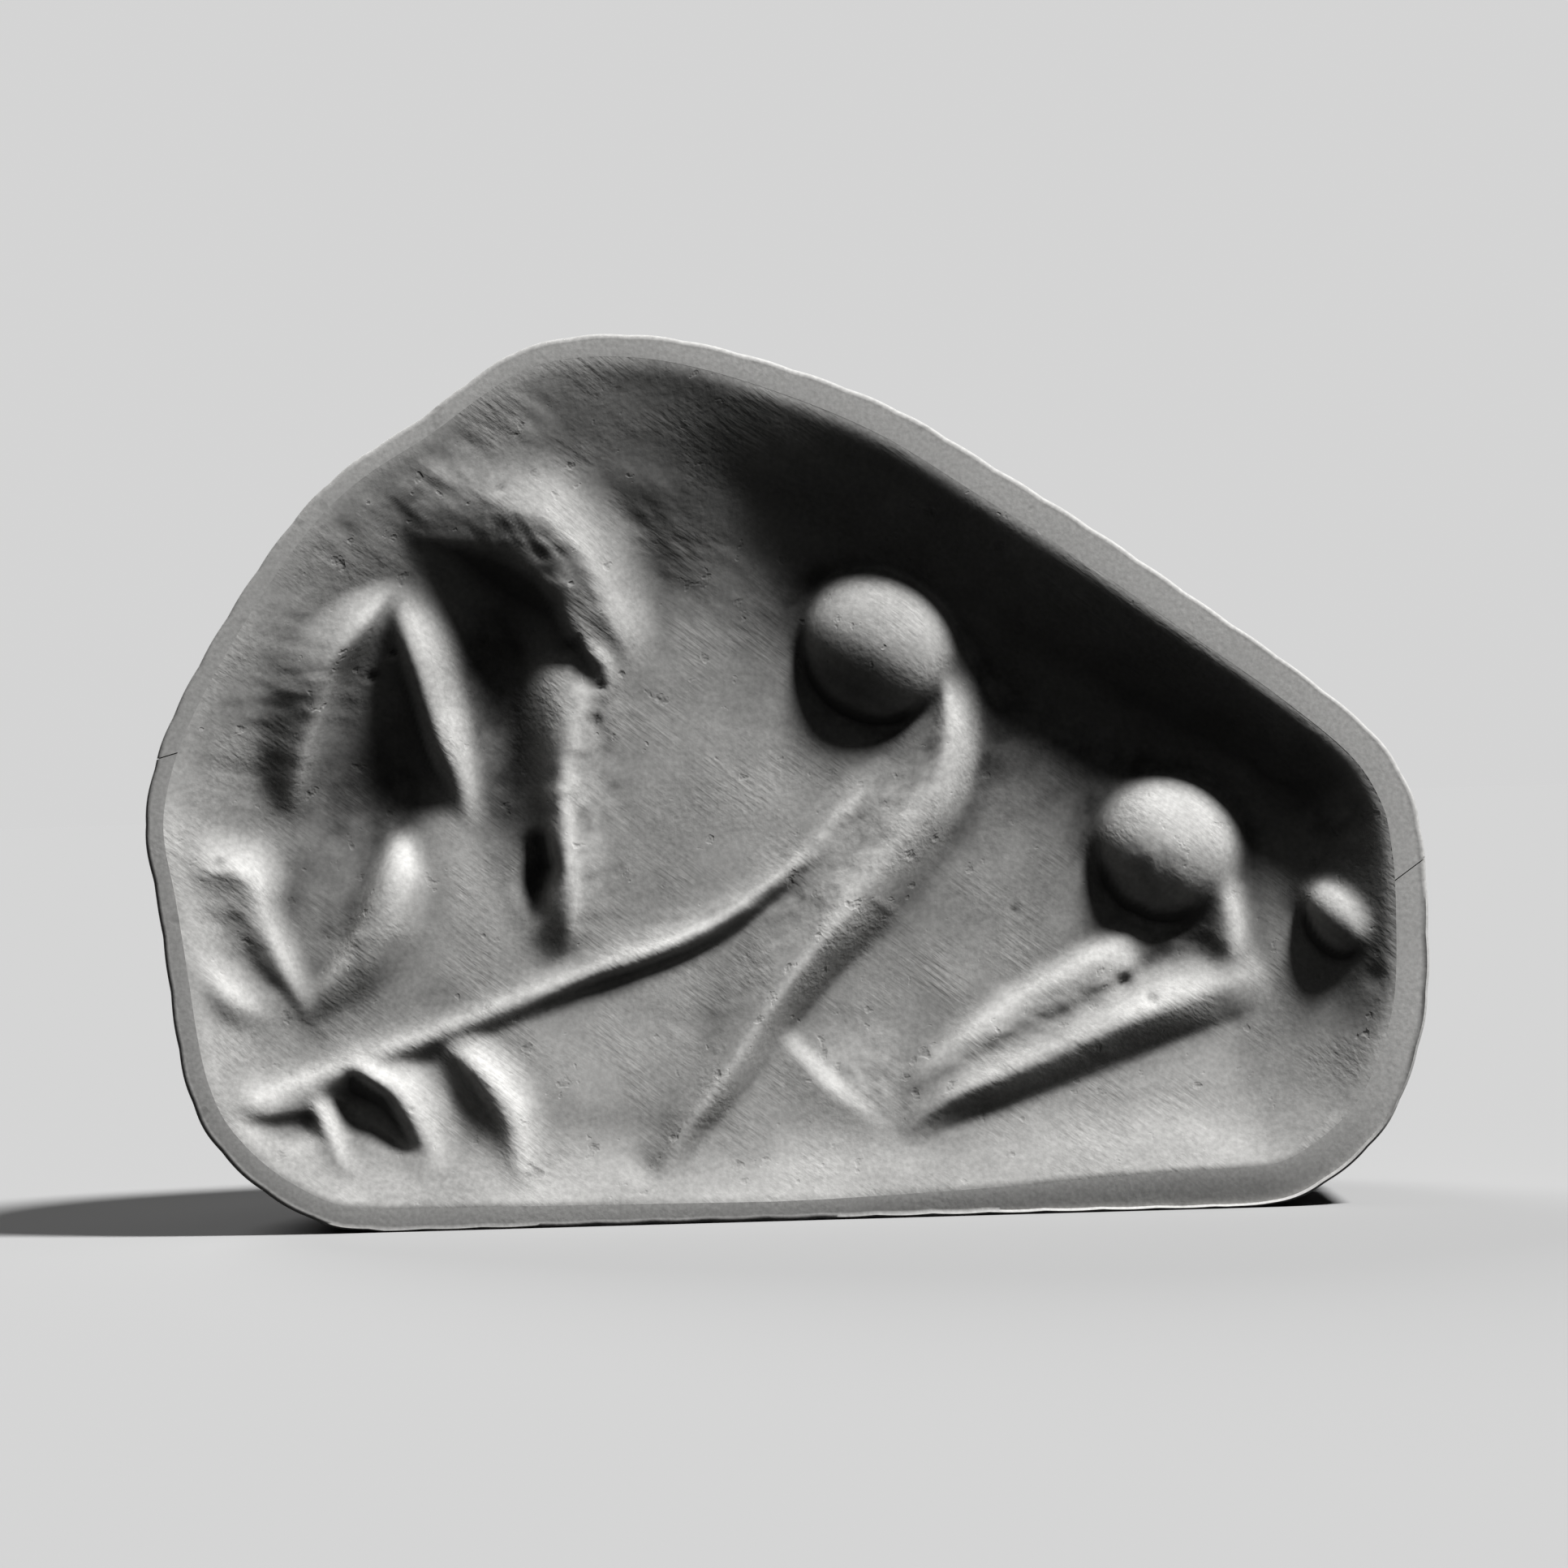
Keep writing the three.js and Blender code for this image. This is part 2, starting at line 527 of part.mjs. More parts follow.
// The grip narrows towards its back as a quarter of an ellipse does, and keeps its flat foot
function makeGrip() {
  const geometry = slab(archStations, GRIP_FRONT, GRIP_FRONT + GRIP_DEPTH, GRIP_STEPS);
  const backShare = GRIP_BACK_WIDTH / FACE_WIDTH;
  const places = geometry.attributes.position;
  for (let i = 0; i < places.count; i += 1) {
    const t = (places.getY(i) - GRIP_FRONT) / GRIP_DEPTH;
    const share = Math.sqrt(1 - t * t * (1 - backShare * backShare));
    places.setX(i, places.getX(i) * share);
    places.setZ(i, places.getZ(i) * share);
  }
  const bore = new THREE.CylinderGeometry(BORE_DIAMETER / 2, BORE_DIAMETER / 2, 2 * FACE_WIDTH, BORE_SIDES);
  bore.rotateZ(Math.PI / 2);
  bore.translate(0, GRIP_FRONT + BORE_BEHIND_BED, BORE_HEIGHT);
  return geometryOf(solid(geometry).subtract(solid(bore)));
}

function makeBed() {
  const points = offsetEdge(archStations, () => BED_INSET);
  return slab(points, BED_FRONT, GRIP_FRONT, 1);
}

const seal = new THREE.Group();

function add(name, geometry, material) {
  const mesh = new THREE.Mesh(geometry, material);
  mesh.name = name;
  seal.add(mesh);
}

const [upperRim, lowerRim] = makeRims();
add("carved_face", makeFace(), stone);
add("upper_rim", upperRim, rimStone);
add("lower_rim", lowerRim, rimStone);
add("setting_bed", makeBed(), cement);
add("grip", makeGrip(), gripStone);

export default seal;
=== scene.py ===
# %% [markdown]
# A small stone seal stamp that stands on its foot. Its face is sunk inside a smooth rim, and a lying
# animal with folded legs stands up from the sunk field, drawn with drilled balls and with bars. Behind
# the face are a thin bed of cement and the domed grip, which a string hole crosses from side to side.
#
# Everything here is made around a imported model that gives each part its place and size, so the first step
# is to load it. Nothing is measured by eye after that.

import math

import bmesh
import bpy
import numpy as np
from mathutils import Matrix, Vector


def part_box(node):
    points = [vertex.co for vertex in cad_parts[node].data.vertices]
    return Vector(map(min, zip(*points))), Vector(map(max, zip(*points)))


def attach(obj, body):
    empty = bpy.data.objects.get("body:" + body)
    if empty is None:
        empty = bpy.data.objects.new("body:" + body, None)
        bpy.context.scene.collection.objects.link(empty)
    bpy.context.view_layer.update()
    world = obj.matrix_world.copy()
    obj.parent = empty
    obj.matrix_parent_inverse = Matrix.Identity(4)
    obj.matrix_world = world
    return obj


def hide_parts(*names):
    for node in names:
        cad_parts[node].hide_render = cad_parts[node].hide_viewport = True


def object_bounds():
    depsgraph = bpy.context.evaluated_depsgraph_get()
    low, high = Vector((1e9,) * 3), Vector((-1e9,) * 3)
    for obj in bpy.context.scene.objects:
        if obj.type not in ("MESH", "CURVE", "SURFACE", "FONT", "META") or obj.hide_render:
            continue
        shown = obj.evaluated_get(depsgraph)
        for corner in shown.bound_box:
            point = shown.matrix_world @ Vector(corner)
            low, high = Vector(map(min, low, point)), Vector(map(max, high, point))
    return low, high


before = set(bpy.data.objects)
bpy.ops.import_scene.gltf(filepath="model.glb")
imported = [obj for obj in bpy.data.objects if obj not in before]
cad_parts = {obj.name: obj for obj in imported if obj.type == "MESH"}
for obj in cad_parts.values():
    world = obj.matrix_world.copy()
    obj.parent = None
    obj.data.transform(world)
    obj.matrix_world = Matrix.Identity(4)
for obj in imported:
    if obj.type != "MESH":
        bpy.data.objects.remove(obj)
packed_low, packed_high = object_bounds()
print("packed parts:", sorted(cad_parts))

# %% [markdown]
# Blender measures in metres and a seal is measured in millimetres. The drawing of the face below is in
# millimetres, x to the right and z up from the foot, and one value, MM, brings it to metres. How deep
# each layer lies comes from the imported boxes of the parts.

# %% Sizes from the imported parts
MM = 0.001
face_width = (packed_high.x - packed_low.x) / MM
face_height = (packed_high.z - packed_low.z) / MM
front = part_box("upper_rim")[0].y / MM
bed_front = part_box("setting_bed")[0].y / MM
grip_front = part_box("grip")[0].y / MM
grip_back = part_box("grip")[1].y / MM
print(f"face {face_width:.2f} x {face_height:.2f} mm, depth {grip_back - front:.2f} mm")

# %% [markdown]
# The outline is an arch on a straight foot. It could be traced with hundreds of points, but a smooth curve
# through a few dozen says the same and is easy to change. The curve is a Catmull-Rom spline, which passes
# through every point that it is given. The same spline is used again below for every ridge of the animal.

# %% Outline of the face
ARCH = [
    (8.0, 0.0), (9.05, 0.08), (9.95, 0.5), (10.85, 1.3), (11.4, 2.3), (11.78, 3.7), (11.84, 5.5),
    (11.78, 6.7), (11.58, 7.65), (10.95, 8.7), (9.6, 9.9), (8.0, 11.1), (5.95, 12.6), (4.15, 13.8),
    (2.25, 15.0), (0.2, 15.85), (-1.75, 16.4), (-3.35, 16.52), (-4.6, 16.3), (-5.5, 15.8), (-6.55, 15.05),
    (-7.7, 14.35), (-8.55, 13.65), (-9.4, 12.65), (-10.3, 11.35), (-11.1, 10.0), (-11.6, 8.85),
    (-11.84, 7.6), (-11.65, 6.2), (-11.5, 4.9), (-11.35, 3.55), (-11.15, 2.6), (-10.75, 1.75),
    (-9.9, 0.85), (-8.75, 0.18), (-7.7, 0.0),
]
MIDDLE = (0.0, 7.0)  # bearings round the face are taken from here
SPLINE_STEPS = 10
EDGE_POINTS = 720


def spline(rows):
    """Rows of numbers along a Catmull-Rom curve through the given rows."""
    p = np.array(rows, float)
    p = np.vstack([2 * p[0] - p[1], p, 2 * p[-1] - p[-2]])
    curve = []
    for i in range(1, len(p) - 2):
        a, b, c, d = p[i - 1], p[i], p[i + 1], p[i + 2]
        bend, twist = 2 * a - 5 * b + 4 * c - d, 3 * b - a - 3 * c + d
        for t in np.arange(SPLINE_STEPS) / SPLINE_STEPS:
            curve.append(0.5 * (2 * b + (c - a) * t + bend * t**2 + twist * t**3))
    return np.array(curve + [p[-2]])


def even_points(points, count):
    """Points at even steps round a closed line."""
    loop = np.vstack([points, points[:1]])
    reach = np.concatenate([[0], np.cumsum(np.hypot(*np.diff(loop, axis=0).T))])
    at = np.arange(count) / count * reach[-1]
    return np.column_stack([np.interp(at, reach, loop[:, k]) for k in (0, 1)])


edge = even_points(spline(ARCH), EDGE_POINTS)
coarse_edge = edge[::2]  # enough for measuring distances to it
print("outline", edge.min(0).round(2), edge.max(0).round(2))

# %% [markdown]
# The face is a relief: at each place it has one height, and 0 is the plane of the rim. So the relief can
# be worked out as a height for every point of a fine grid. A sculptor would do the same with a few kinds
# of stroke, and these are the kinds used here. A ball is the mark of a round drill. A ridge runs along a
# curve and falls away to its left and to its right, each side with its own width and its own fall. A
# patch has corners and a soft edge, and is used for hollows.

# %% Helpers for the relief
FALLS = {  # two powers for each kind of fall
    "round": (2.0, 1.0), "wedge": (1.15, 1.0), "brow": (3.0, 1.0), "soft": (2.0, 2.0), "bell": (1.5, 1.5),
    "swell": (1.5, 2.5), "fade": (1.0, 2.0), "cliff": (1.0, 3.0),
}
SHELF = 0.42  # share of the way that a shelf runs almost level before it drops
SHELF_FALL = 0.2  # share of the height that it loses there
SHELF_DROP = 2.2
BALL_POWER = 1.7  # 2 is a true ball, and less gives a top that is a little pointed
BELOW_ALL = -9  # height beside a ball, lower than every other form
LEAST_WIDTH, REACH_SPARE = 0.05, 0.1  # mm
GRAIN_TABLE = 64


def fall(share, kind):
    """How much height is left at a share of the way from the crest to the foot of a form."""
    way = np.clip(share, 0, 1)
    if kind == "shelf":
        edge_drop = (1 - SHELF_FALL) * (1 - np.clip((way - SHELF) / (1 - SHELF), 0, 1)) ** SHELF_DROP
        return np.where(way < SHELF, 1 - SHELF_FALL * way / SHELF, edge_drop)
    power, again = FALLS[kind]
    return (1 - way**power) ** again


def smooth(share):
    """An even step from 0 to 1 that starts and ends softly."""
    s = np.clip(share, 0, 1)
    return s * s * (3 - 2 * s)


def turned(x, z, at, turn):
    """Places measured from a point, along and across a direction given in degrees."""
    c, s = math.cos(math.radians(turn)), math.sin(math.radians(turn))
    return (x - at[0]) * c + (z - at[1]) * s, (z - at[1]) * c - (x - at[0]) * s


def line_distance(x, z, points):
    """Distance to a closed line."""
    nearest = np.full(x.shape, np.inf)
    for a, b in zip(points, np.roll(points, -1, 0)):
        way = b - a
        share = np.clip(((x - a[0]) * way[0] + (z - a[1]) * way[1]) / (way @ way), 0, 1)
        nearest = np.minimum(nearest, np.hypot(x - a[0] - share * way[0], z - a[1] - share * way[1]))
    return nearest


def ball(x, z, at, across, top, deep, turn):
    """The upper half of a ball or egg, as an absolute height, from its half widths and its half depth."""
    u, v = turned(x, z, at, turn)
    out = np.hypot(u / across[0], v / across[1])
    left = 1 - np.clip(out, 0, 1) ** BALL_POWER
    return np.where(out < 1, top - deep * (1 - np.sqrt(left)), BELOW_ALL)


def ridge(x, z, rows, left_kind, right_kind):
    """A ridge through rows of x, z, height, left width and right width."""
    path = spline(rows)
    reach = path[:, 3:].max() + REACH_SPARE
    nearest = np.full(x.shape, np.inf)
    height = np.zeros(x.shape)
    for a, b in zip(path[:-1], path[1:]):
        low, high = np.minimum(a, b) - reach, np.maximum(a, b) + reach
        near = (x > low[0]) & (x < high[0]) & (z > low[1]) & (z < high[1])
        way = b[:2] - a[:2]
        dx, dz = x[near] - a[0], z[near] - a[1]
        share = np.clip((dx * way[0] + dz * way[1]) / (way @ way), 0, 1)
        distance = np.hypot(dx - share * way[0], dz - share * way[1])
        here = a + share[:, None] * (b - a)
        on_left = way[0] * dz - way[1] * dx > 0
        left = here[:, 2] * fall(distance / np.maximum(here[:, 3], LEAST_WIDTH), left_kind)
        right = here[:, 2] * fall(distance / np.maximum(here[:, 4], LEAST_WIDTH), right_kind)
        closer = distance < nearest[near]
        nearest[near] = np.where(closer, distance, nearest[near])
        height[near] = np.where(closer, np.where(on_left, left, right), height[near])
    return height


def patch(x, z, corners, height, border):
    """A patch between corners that reaches its height one border inside its edge."""
    points = np.array(corners, float)
    inside = np.zeros(x.shape, bool)
    for (ax, az), (bx, bz) in zip(points, np.roll(points, -1, 0)):
        if az != bz:
            inside ^= ((az > z) != (bz > z)) & (x < (bx - ax) * (z - az) / (bz - az) + ax)
    from_border = 1 - np.clip(line_distance(x, z, points) / border, 0, 1)
    return np.where(inside, height * fall(from_border, "soft"), 0)


def join(a, b, softness):
    """The higher of two forms, with a soft fillet where they meet."""
    near = np.clip(softness - np.abs(a - b), 0, None)
    return np.maximum(a, b) + np.where((a != 0) & (b != 0), near * near / (4 * softness), 0)


def grain(x, z, size, seed, turn=0, stretch=1):
    """Smooth random heights from -1 to 1, with bumps of the given size, drawn out along a direction."""
    table = np.random.default_rng(seed).uniform(-1, 1, (GRAIN_TABLE, GRAIN_TABLE))
    u, v = turned(x, z, (0, 0), turn)
    u, v = u / (size * stretch), v / size
    i, j = np.floor(u).astype(int), np.floor(v).astype(int)
    f, g = smooth(u - i), smooth(v - j)
    left, right = i % GRAIN_TABLE, (i + 1) % GRAIN_TABLE
    below, above = j % GRAIN_TABLE, (j + 1) % GRAIN_TABLE
    low = table[left, below] * (1 - f) + table[right, below] * f
    high = table[left, above] * (1 - f) + table[right, above] * f
    return low * (1 - g) + high * g


print("kinds of fall:", ", ".join(FALLS))

# %% [markdown]
# The field is a shallow dish. Its wall is steep and wide at the upper right, gentle at the left and short
# above the foot, so the rim and the wall are given by bearing, like a table of a coastline, and blended
# in between. The wall falls evenly and then levels out, which gives the soft edge of its shadow.

# %% Rim and sunk field
# Bearing in degrees, width of the rim, length and depth of the wall, how far the rim falls at its outer edge
AROUND = [
    (-180, 0.35, 2.4, 0.75, 0.02), (-150, 0.45, 1.8, 0.7, 0.03), (-115, 0.4, 1.5, 0.5, 0.03),
    (-90, 0.36, 1.5, 0.42, 0.03), (-62, 0.5, 1.4, 0.38, 0.08), (-38, 0.8, 1.3, 0.45, 0.14),
    (-12, 0.6, 1.8, 0.6, 0.04), (5, 0.6, 2.4, 0.7, 0.02), (25, 0.62, 3.4, 0.8, 0.02),
    (45, 0.62, 3.9, 0.9, 0.02), (70, 0.6, 4.1, 0.92, 0.02), (90, 0.5, 3.9, 0.76, 0.02),
    (98, 0.47, 3.7, 0.6, 0.02), (108, 0.42, 3.4, 0.28, 0.02), (120, 0.38, 3.3, 0.28, 0.02),
    (135, 0.35, 3.2, 0.42, 0.02), (160, 0.35, 2.6, 0.6, 0.02), (180, 0.35, 2.4, 0.75, 0.02),
]
BEARING_BLEND = (-8, -4, 0, 4, 8)  # each bearing takes the mean of the rows at these turns from it
FIELD_DEPTH = 0.75
LIP_POWER = 1.5
WALL_POINTS = 65
LEVEL_FROM, LEVEL_OVER = 0.6, 2.5  # share of the wall where levelling starts, and the distance that it takes
WALL_STEEPENS, WALL_EASES = 0.07, 0.55  # shares of the wall at its top and at its foot
BOWLS = {  # place, half length, half width, depth, turn
    "under the right wall": ((3.6, 10.9), 9.0, 4.0, 0.45, -33),
    "under the head": ((-8.3, 7.8), 3.4, 2.6, 0.26, 56),
    "beside the neck": ((-5.1, 8.8), 3.0, 0.75, 0.42, 97),
    "between the ears": ((-7.4, 8.7), 1.5, 0.8, 0.14, 60),
    "below the ears": ((-7.5, 7.9), 1.3, 0.75, 0.15, 15),
    "under the long leg": ((-3.4, 2.8), 2.6, 1.2, -0.12, 25),
}


def wall_profile():
    """How far the wall has fallen, against the share of the way down it."""
    share = np.linspace(0, 1, WALL_POINTS)
    slope = np.clip(share / WALL_STEEPENS, 0, 1) * np.clip((1 - share) / WALL_EASES, 0, 1)
    depth = np.concatenate([[0], np.cumsum((slope[1:] + slope[:-1]) / 2)])
    return share, depth / depth[-1]


def around(x, z, column):
    """One column of AROUND at the bearing of each point."""
    table = np.array(AROUND)
    bearing = np.degrees(np.arctan2(z - MIDDLE[1], x - MIDDLE[0]))
    places = [(bearing + turn + 180) % 360 - 180 for turn in BEARING_BLEND]
    return np.mean([np.interp(at, table[:, 0], table[:, column]) for at in places], axis=0)


def field(x, z, from_edge):
    """Height of the rim, the wall and the sunk field."""
    rim, wall, depth, lip = (around(x, z, column) for column in (1, 2, 3, 4))
    share = np.clip((from_edge - rim) / wall, 0, 1)
    slope = depth * np.interp(share, *wall_profile())
    level = smooth((from_edge - rim - wall * LEVEL_FROM) / LEVEL_OVER)
    height = -(slope * (1 - level) + FIELD_DEPTH * level)
    for at, along, across, deep, turn in BOWLS.values():
        u, v = turned(x, z, at, turn)
        height -= deep * np.exp(-((u / along) ** 2) - (v / across) ** 2) * smooth(share)
    return height - lip * np.clip((rim - from_edge) / rim, 0, 1) ** LIP_POWER


print("rim", min(r[1] for r in AROUND), "to", max(r[1] for r in AROUND), "mm wide")

# %% [markdown]
# The animal lies with its legs folded, its head to the left. It could be sculpted by hand, but then
# nobody could change it. Here every form has a name and a few numbers: the ridges and the small hollows
# are added to the field, and the balls are joined to both. Light comes from the upper right, so a form
# has a soft side there and a steeper one at the lower left.

# %% Draw the animal
PATCHES = {  # corners, height, width of the soft border
    "pit beside the neck": ([
        (-5.0, 7.2), (-4.5, 7.5), (-4.15, 6.7), (-4.4, 5.7), (-4.85, 5.3), (-5.1, 6.2),
    ], -0.22, 0.45),
    "inside the muzzle": ([
        (-11.0, 6.1), (-10.2, 6.2), (-9.7, 5.4), (-9.3, 4.4), (-9.9, 4.3), (-10.7, 4.9),
    ], -0.1, 0.5),
    "before the first toe": ([
        (-10.5, 2.2), (-9.9, 1.6), (-9.4, 1.45), (-8.8, 1.7), (-8.8, 2.3), (-9.5, 2.3),
    ], -0.16, 0.4),
    "before the second toe": ([
        (-8.8, 2.6), (-8.2, 3.0), (-7.3, 2.7), (-6.9, 1.6), (-6.9, 1.2), (-7.5, 1.3), (-8.4, 1.8),
    ], -0.14, 0.5),
}
BALLS = {  # place, half widths, level of the top, half depth, turn
    "shoulder": ((1.86, 10.65), (1.7, 1.65), -0.3, 1.25, -37),
    "haunch": ((7.12, 6.68), (1.62, 1.58), -0.23, 1.25, -33),
    "tail": ((10.42, 5.2), (1.1, 0.75), -0.14, 0.8, -50),
}
RIDGES = {  # kinds of fall to the left and right, then rows of x, z, height, left width, right width
    "crest": ("shelf", "swell", [
        (-2.95, 9.8, 0, 0.9, 0.6), (-3.0, 10.8, 0.34, 1.5, 0.95), (-3.2, 11.4, 0.48, 1.8, 1.25),
        (-3.48, 12.05, 0.52, 1.8, 1.45), (-3.9, 12.65, 0.5, 1.9, 1.5), (-4.45, 13.1, 0.44, 2.0, 1.45),
        (-5.15, 13.4, 0.32, 1.9, 1.3), (-5.9, 13.7, 0.14, 1.4, 1.1), (-6.7, 14.0, 0.02, 0.9, 0.8),
        (-7.3, 14.2, 0, 0.5, 0.5),
    ]),
    "brow": ("brow", "cliff", [
        (-6.9, 12.9, 0, 0.5, 0.6), (-6.1, 12.75, 0.18, 1.2, 1.2), (-5.2, 12.5, 0.33, 1.4, 1.4),
        (-4.4, 12.15, 0.4, 1.2, 1.6), (-3.95, 11.6, 0.4, 0.7, 1.5), (-3.7, 11.0, 0, 0.4, 1.0),
    ]),
    "cheek": ("bell", "cliff", [
        (-4.1, 11.7, 0, 0.4, 0.6), (-3.9, 11.3, 0.36, 0.5, 1.1), (-3.62, 10.85, 0.44, 0.65, 1.3),
        (-3.38, 10.4, 0.42, 0.7, 1.3), (-3.35, 9.8, 0.2, 0.6, 1.0), (-3.5, 9.2, 0, 0.5, 0.8),
    ]),
    "neck": ("fade", "bell", [
        (-3.2, 10.9, 0, 0.8, 0.8), (-3.55, 10.1, 0.3, 0.9, 1.3), (-3.9, 9.2, 0.4, 0.9, 1.6),
        (-4.1, 8.3, 0.42, 0.9, 1.7), (-4.12, 7.4, 0.4, 0.9, 1.6), (-4.05, 6.5, 0.36, 0.85, 1.4),
        (-4.05, 5.7, 0.28, 0.7, 1.2), (-4.25, 4.8, 0, 0.5, 0.6),
    ]),
    "right ear": ("cliff", "bell", [
        (-5.82, 7.4, 0, 0.3, 0.25), (-6.05, 8.2, 0.22, 0.9, 0.7), (-6.4, 9.0, 0.4, 1.2, 0.95),
        (-6.7, 10.0, 0.44, 1.3, 1.0), (-6.95, 11.0, 0.38, 1.1, 0.95), (-7.15, 12.0, 0, 0.5, 0.5),
    ]),
    "left ear": ("fade", "bell", [
        (-7.05, 12.0, 0, 0.3, 0.3), (-7.7, 11.2, 0.42, 0.55, 0.8), (-8.35, 10.35, 0.48, 0.6, 1.0),
        (-8.75, 9.4, 0.42, 0.55, 1.0), (-9.05, 8.5, 0.26, 0.5, 0.8), (-9.3, 7.8, 0, 0.4, 0.4),
    ]),
    "muzzle": ("bell", "fade", [
        (-11.2, 6.5, 0, 0.5, 0.5), (-10.6, 6.8, 0.2, 0.8, 0.9), (-10.05, 6.6, 0.32, 0.8, 1.0),
        (-9.8, 5.95, 0.26, 0.5, 1.1), (-9.55, 5.3, 0.25, 0.45, 1.0), (-9.25, 4.6, 0.2, 0.4, 0.7),
        (-8.9, 3.9, 0, 0.2, 0.3),
    ]),
    "jaw": ("bell", "bell", [
        (-11.3, 5.2, 0, 0.4, 0.4), (-10.8, 4.75, 0.14, 0.5, 0.5), (-10.2, 4.3, 0.18, 0.5, 0.5),
        (-9.4, 3.9, 0, 0.4, 0.4),
    ]),
    "beard": ("bell", "round", [
        (-7.15, 7.4, 0, 0.3, 0.25), (-7.2, 6.95, 0.3, 0.5, 0.36), (-7.3, 6.5, 0.46, 0.75, 0.46),
        (-7.6, 5.85, 0.46, 0.9, 0.46), (-8.0, 5.15, 0.36, 0.85, 0.42), (-8.5, 4.5, 0.22, 0.6, 0.36),
        (-9.0, 3.85, 0, 0.4, 0.3),
    ]),
    "fore leg": ("cliff", "round", [
        (-11.0, 2.3, 0, 0.8, 0.4), (-10.2, 2.45, 0.16, 1.0, 0.5), (-9.5, 2.7, 0.26, 1.0, 0.65),
        (-8.6, 3.0, 0.28, 0.9, 0.6), (-7.4, 3.4, 0.24, 0.8, 0.45), (-6.2, 3.8, 0.21, 0.7, 0.36),
        (-5.0, 4.25, 0.2, 0.65, 0.36), (-3.8, 4.7, 0.22, 0.7, 0.36), (-2.5, 5.1, 0.23, 0.75, 0.36),
        (-1.5, 5.5, 0.24, 0.75, 0.36), (-0.6, 6.05, 0.25, 0.7, 0.36), (0.3, 6.75, 0.25, 0.65, 0.36),
        (1.1, 7.55, 0.22, 0.6, 0.34), (1.9, 8.45, 0, 0.5, 0.4),
    ]),
    "first toe": ("fade", "round", [
        (-8.2, 0.95, 0, 0.2, 0.2), (-8.5, 1.5, 0.16, 0.3, 0.28), (-8.8, 2.2, 0.24, 0.35, 0.3),
        (-8.95, 2.8, 0, 0.3, 0.3),
    ]),
    "second toe": ("fade", "bell", [
        (-6.7, 0.9, 0, 0.3, 0.5), (-6.95, 1.7, 0.32, 0.9, 0.9), (-7.4, 2.45, 0.44, 1.3, 0.9),
        (-8.0, 3.0, 0.4, 1.0, 0.5), (-8.4, 3.3, 0, 0.5, 0.4),
    ]),
    "third toe": ("fade", "bell", [
        (-5.1, 0.7, 0, 0.2, 0.4), (-5.2, 1.5, 0.22, 0.6, 0.7), (-5.45, 2.3, 0.34, 0.9, 0.8),
        (-5.95, 3.0, 0.34, 0.9, 0.7), (-6.6, 3.5, 0, 0.5, 0.5),
    ]),
    "middle leg": ("fade", "wedge", [
        (-2.6, 0.8, 0, 0.3, 0.25), (-2.0, 1.7, 0.3, 0.6, 0.36), (-1.2, 2.75, 0.44, 0.9, 0.48),
        (-0.5, 3.75, 0.52, 1.3, 0.56), (0.2, 4.65, 0.58, 1.7, 0.64), (0.85, 5.4, 0.62, 1.9, 0.7),
        (1.6, 6.3, 0.64, 1.8, 0.8), (2.25, 7.2, 0.64, 1.5, 0.8), (2.8, 8.1, 0.64, 1.2, 0.8),
        (3.05, 9.1, 0.6, 1.1, 0.8), (3.0, 10.0, 0.4, 1.0, 0.8), (2.8, 11.0, 0, 0.8, 0.5),
    ]),
    "spur": ("fade", "round", [
        (1.7, 1.5, 0, 0.3, 0.25), (0.8, 2.25, 0.1, 0.9, 0.3), (0.1, 2.95, 0.12, 1.0, 0.32),
        (-0.5, 3.65, 0, 0.8, 0.3),
    ]),
    "shank": ("bell", "bell", [
        (7.7, 7.8, 0, 0.5, 0.5), (8.05, 6.4, 0.26, 0.5, 0.7), (8.2, 5.0, 0.34, 0.5, 0.75),
        (8.1, 3.8, 0, 0.4, 0.6),
    ]),
    "upper edge of the hind leg": ("brow", "wedge", [
        (6.6, 5.3, 0, 0.5, 0.3), (5.8, 4.75, 0.3, 0.8, 0.4), (4.6, 4.1, 0.34, 0.8, 0.4),
        (3.4, 3.4, 0.3, 0.7, 0.4), (2.5, 2.7, 0.18, 0.5, 0.35), (2.1, 2.0, 0, 0.4, 0.3),
    ]),
    "hind leg": ("soft", "wedge", [
        (2.0, 1.5, 0, 0.4, 0.3), (3.0, 2.2, 0.32, 0.6, 0.5), (4.0, 2.6, 0.42, 0.8, 0.56),
        (5.0, 3.0, 0.46, 0.9, 0.62), (6.0, 3.4, 0.48, 0.9, 0.66), (7.0, 3.75, 0.46, 0.9, 0.66),
        (8.2, 4.15, 0.26, 0.9, 0.7), (8.9, 4.3, 0, 0.5, 0.5),
    ]),
}
RIM_CLEAR = 0.7  # strokes fade out over this distance, so that the rim stays smooth
JOIN_SOFTNESS = 0.1


def ridges(x, z):
    """Height of the ridges above the field."""
    height = np.zeros(x.shape)
    for left_kind, right_kind, rows in RIDGES.values():
        height = join(height, ridge(x, z, rows, left_kind, right_kind), JOIN_SOFTNESS)
    return height


def patches(x, z):
    """Height of the patches above the field, which is below 0 for a hollow."""
    return sum(patch(x, z, corners, height, border) for corners, height, border in PATCHES.values())


WAVES = [(2.3, 0.018, 1), (0.9, 0.006, 2), (0.42, 0.0035, 3)]  # size of the bumps, height, seed
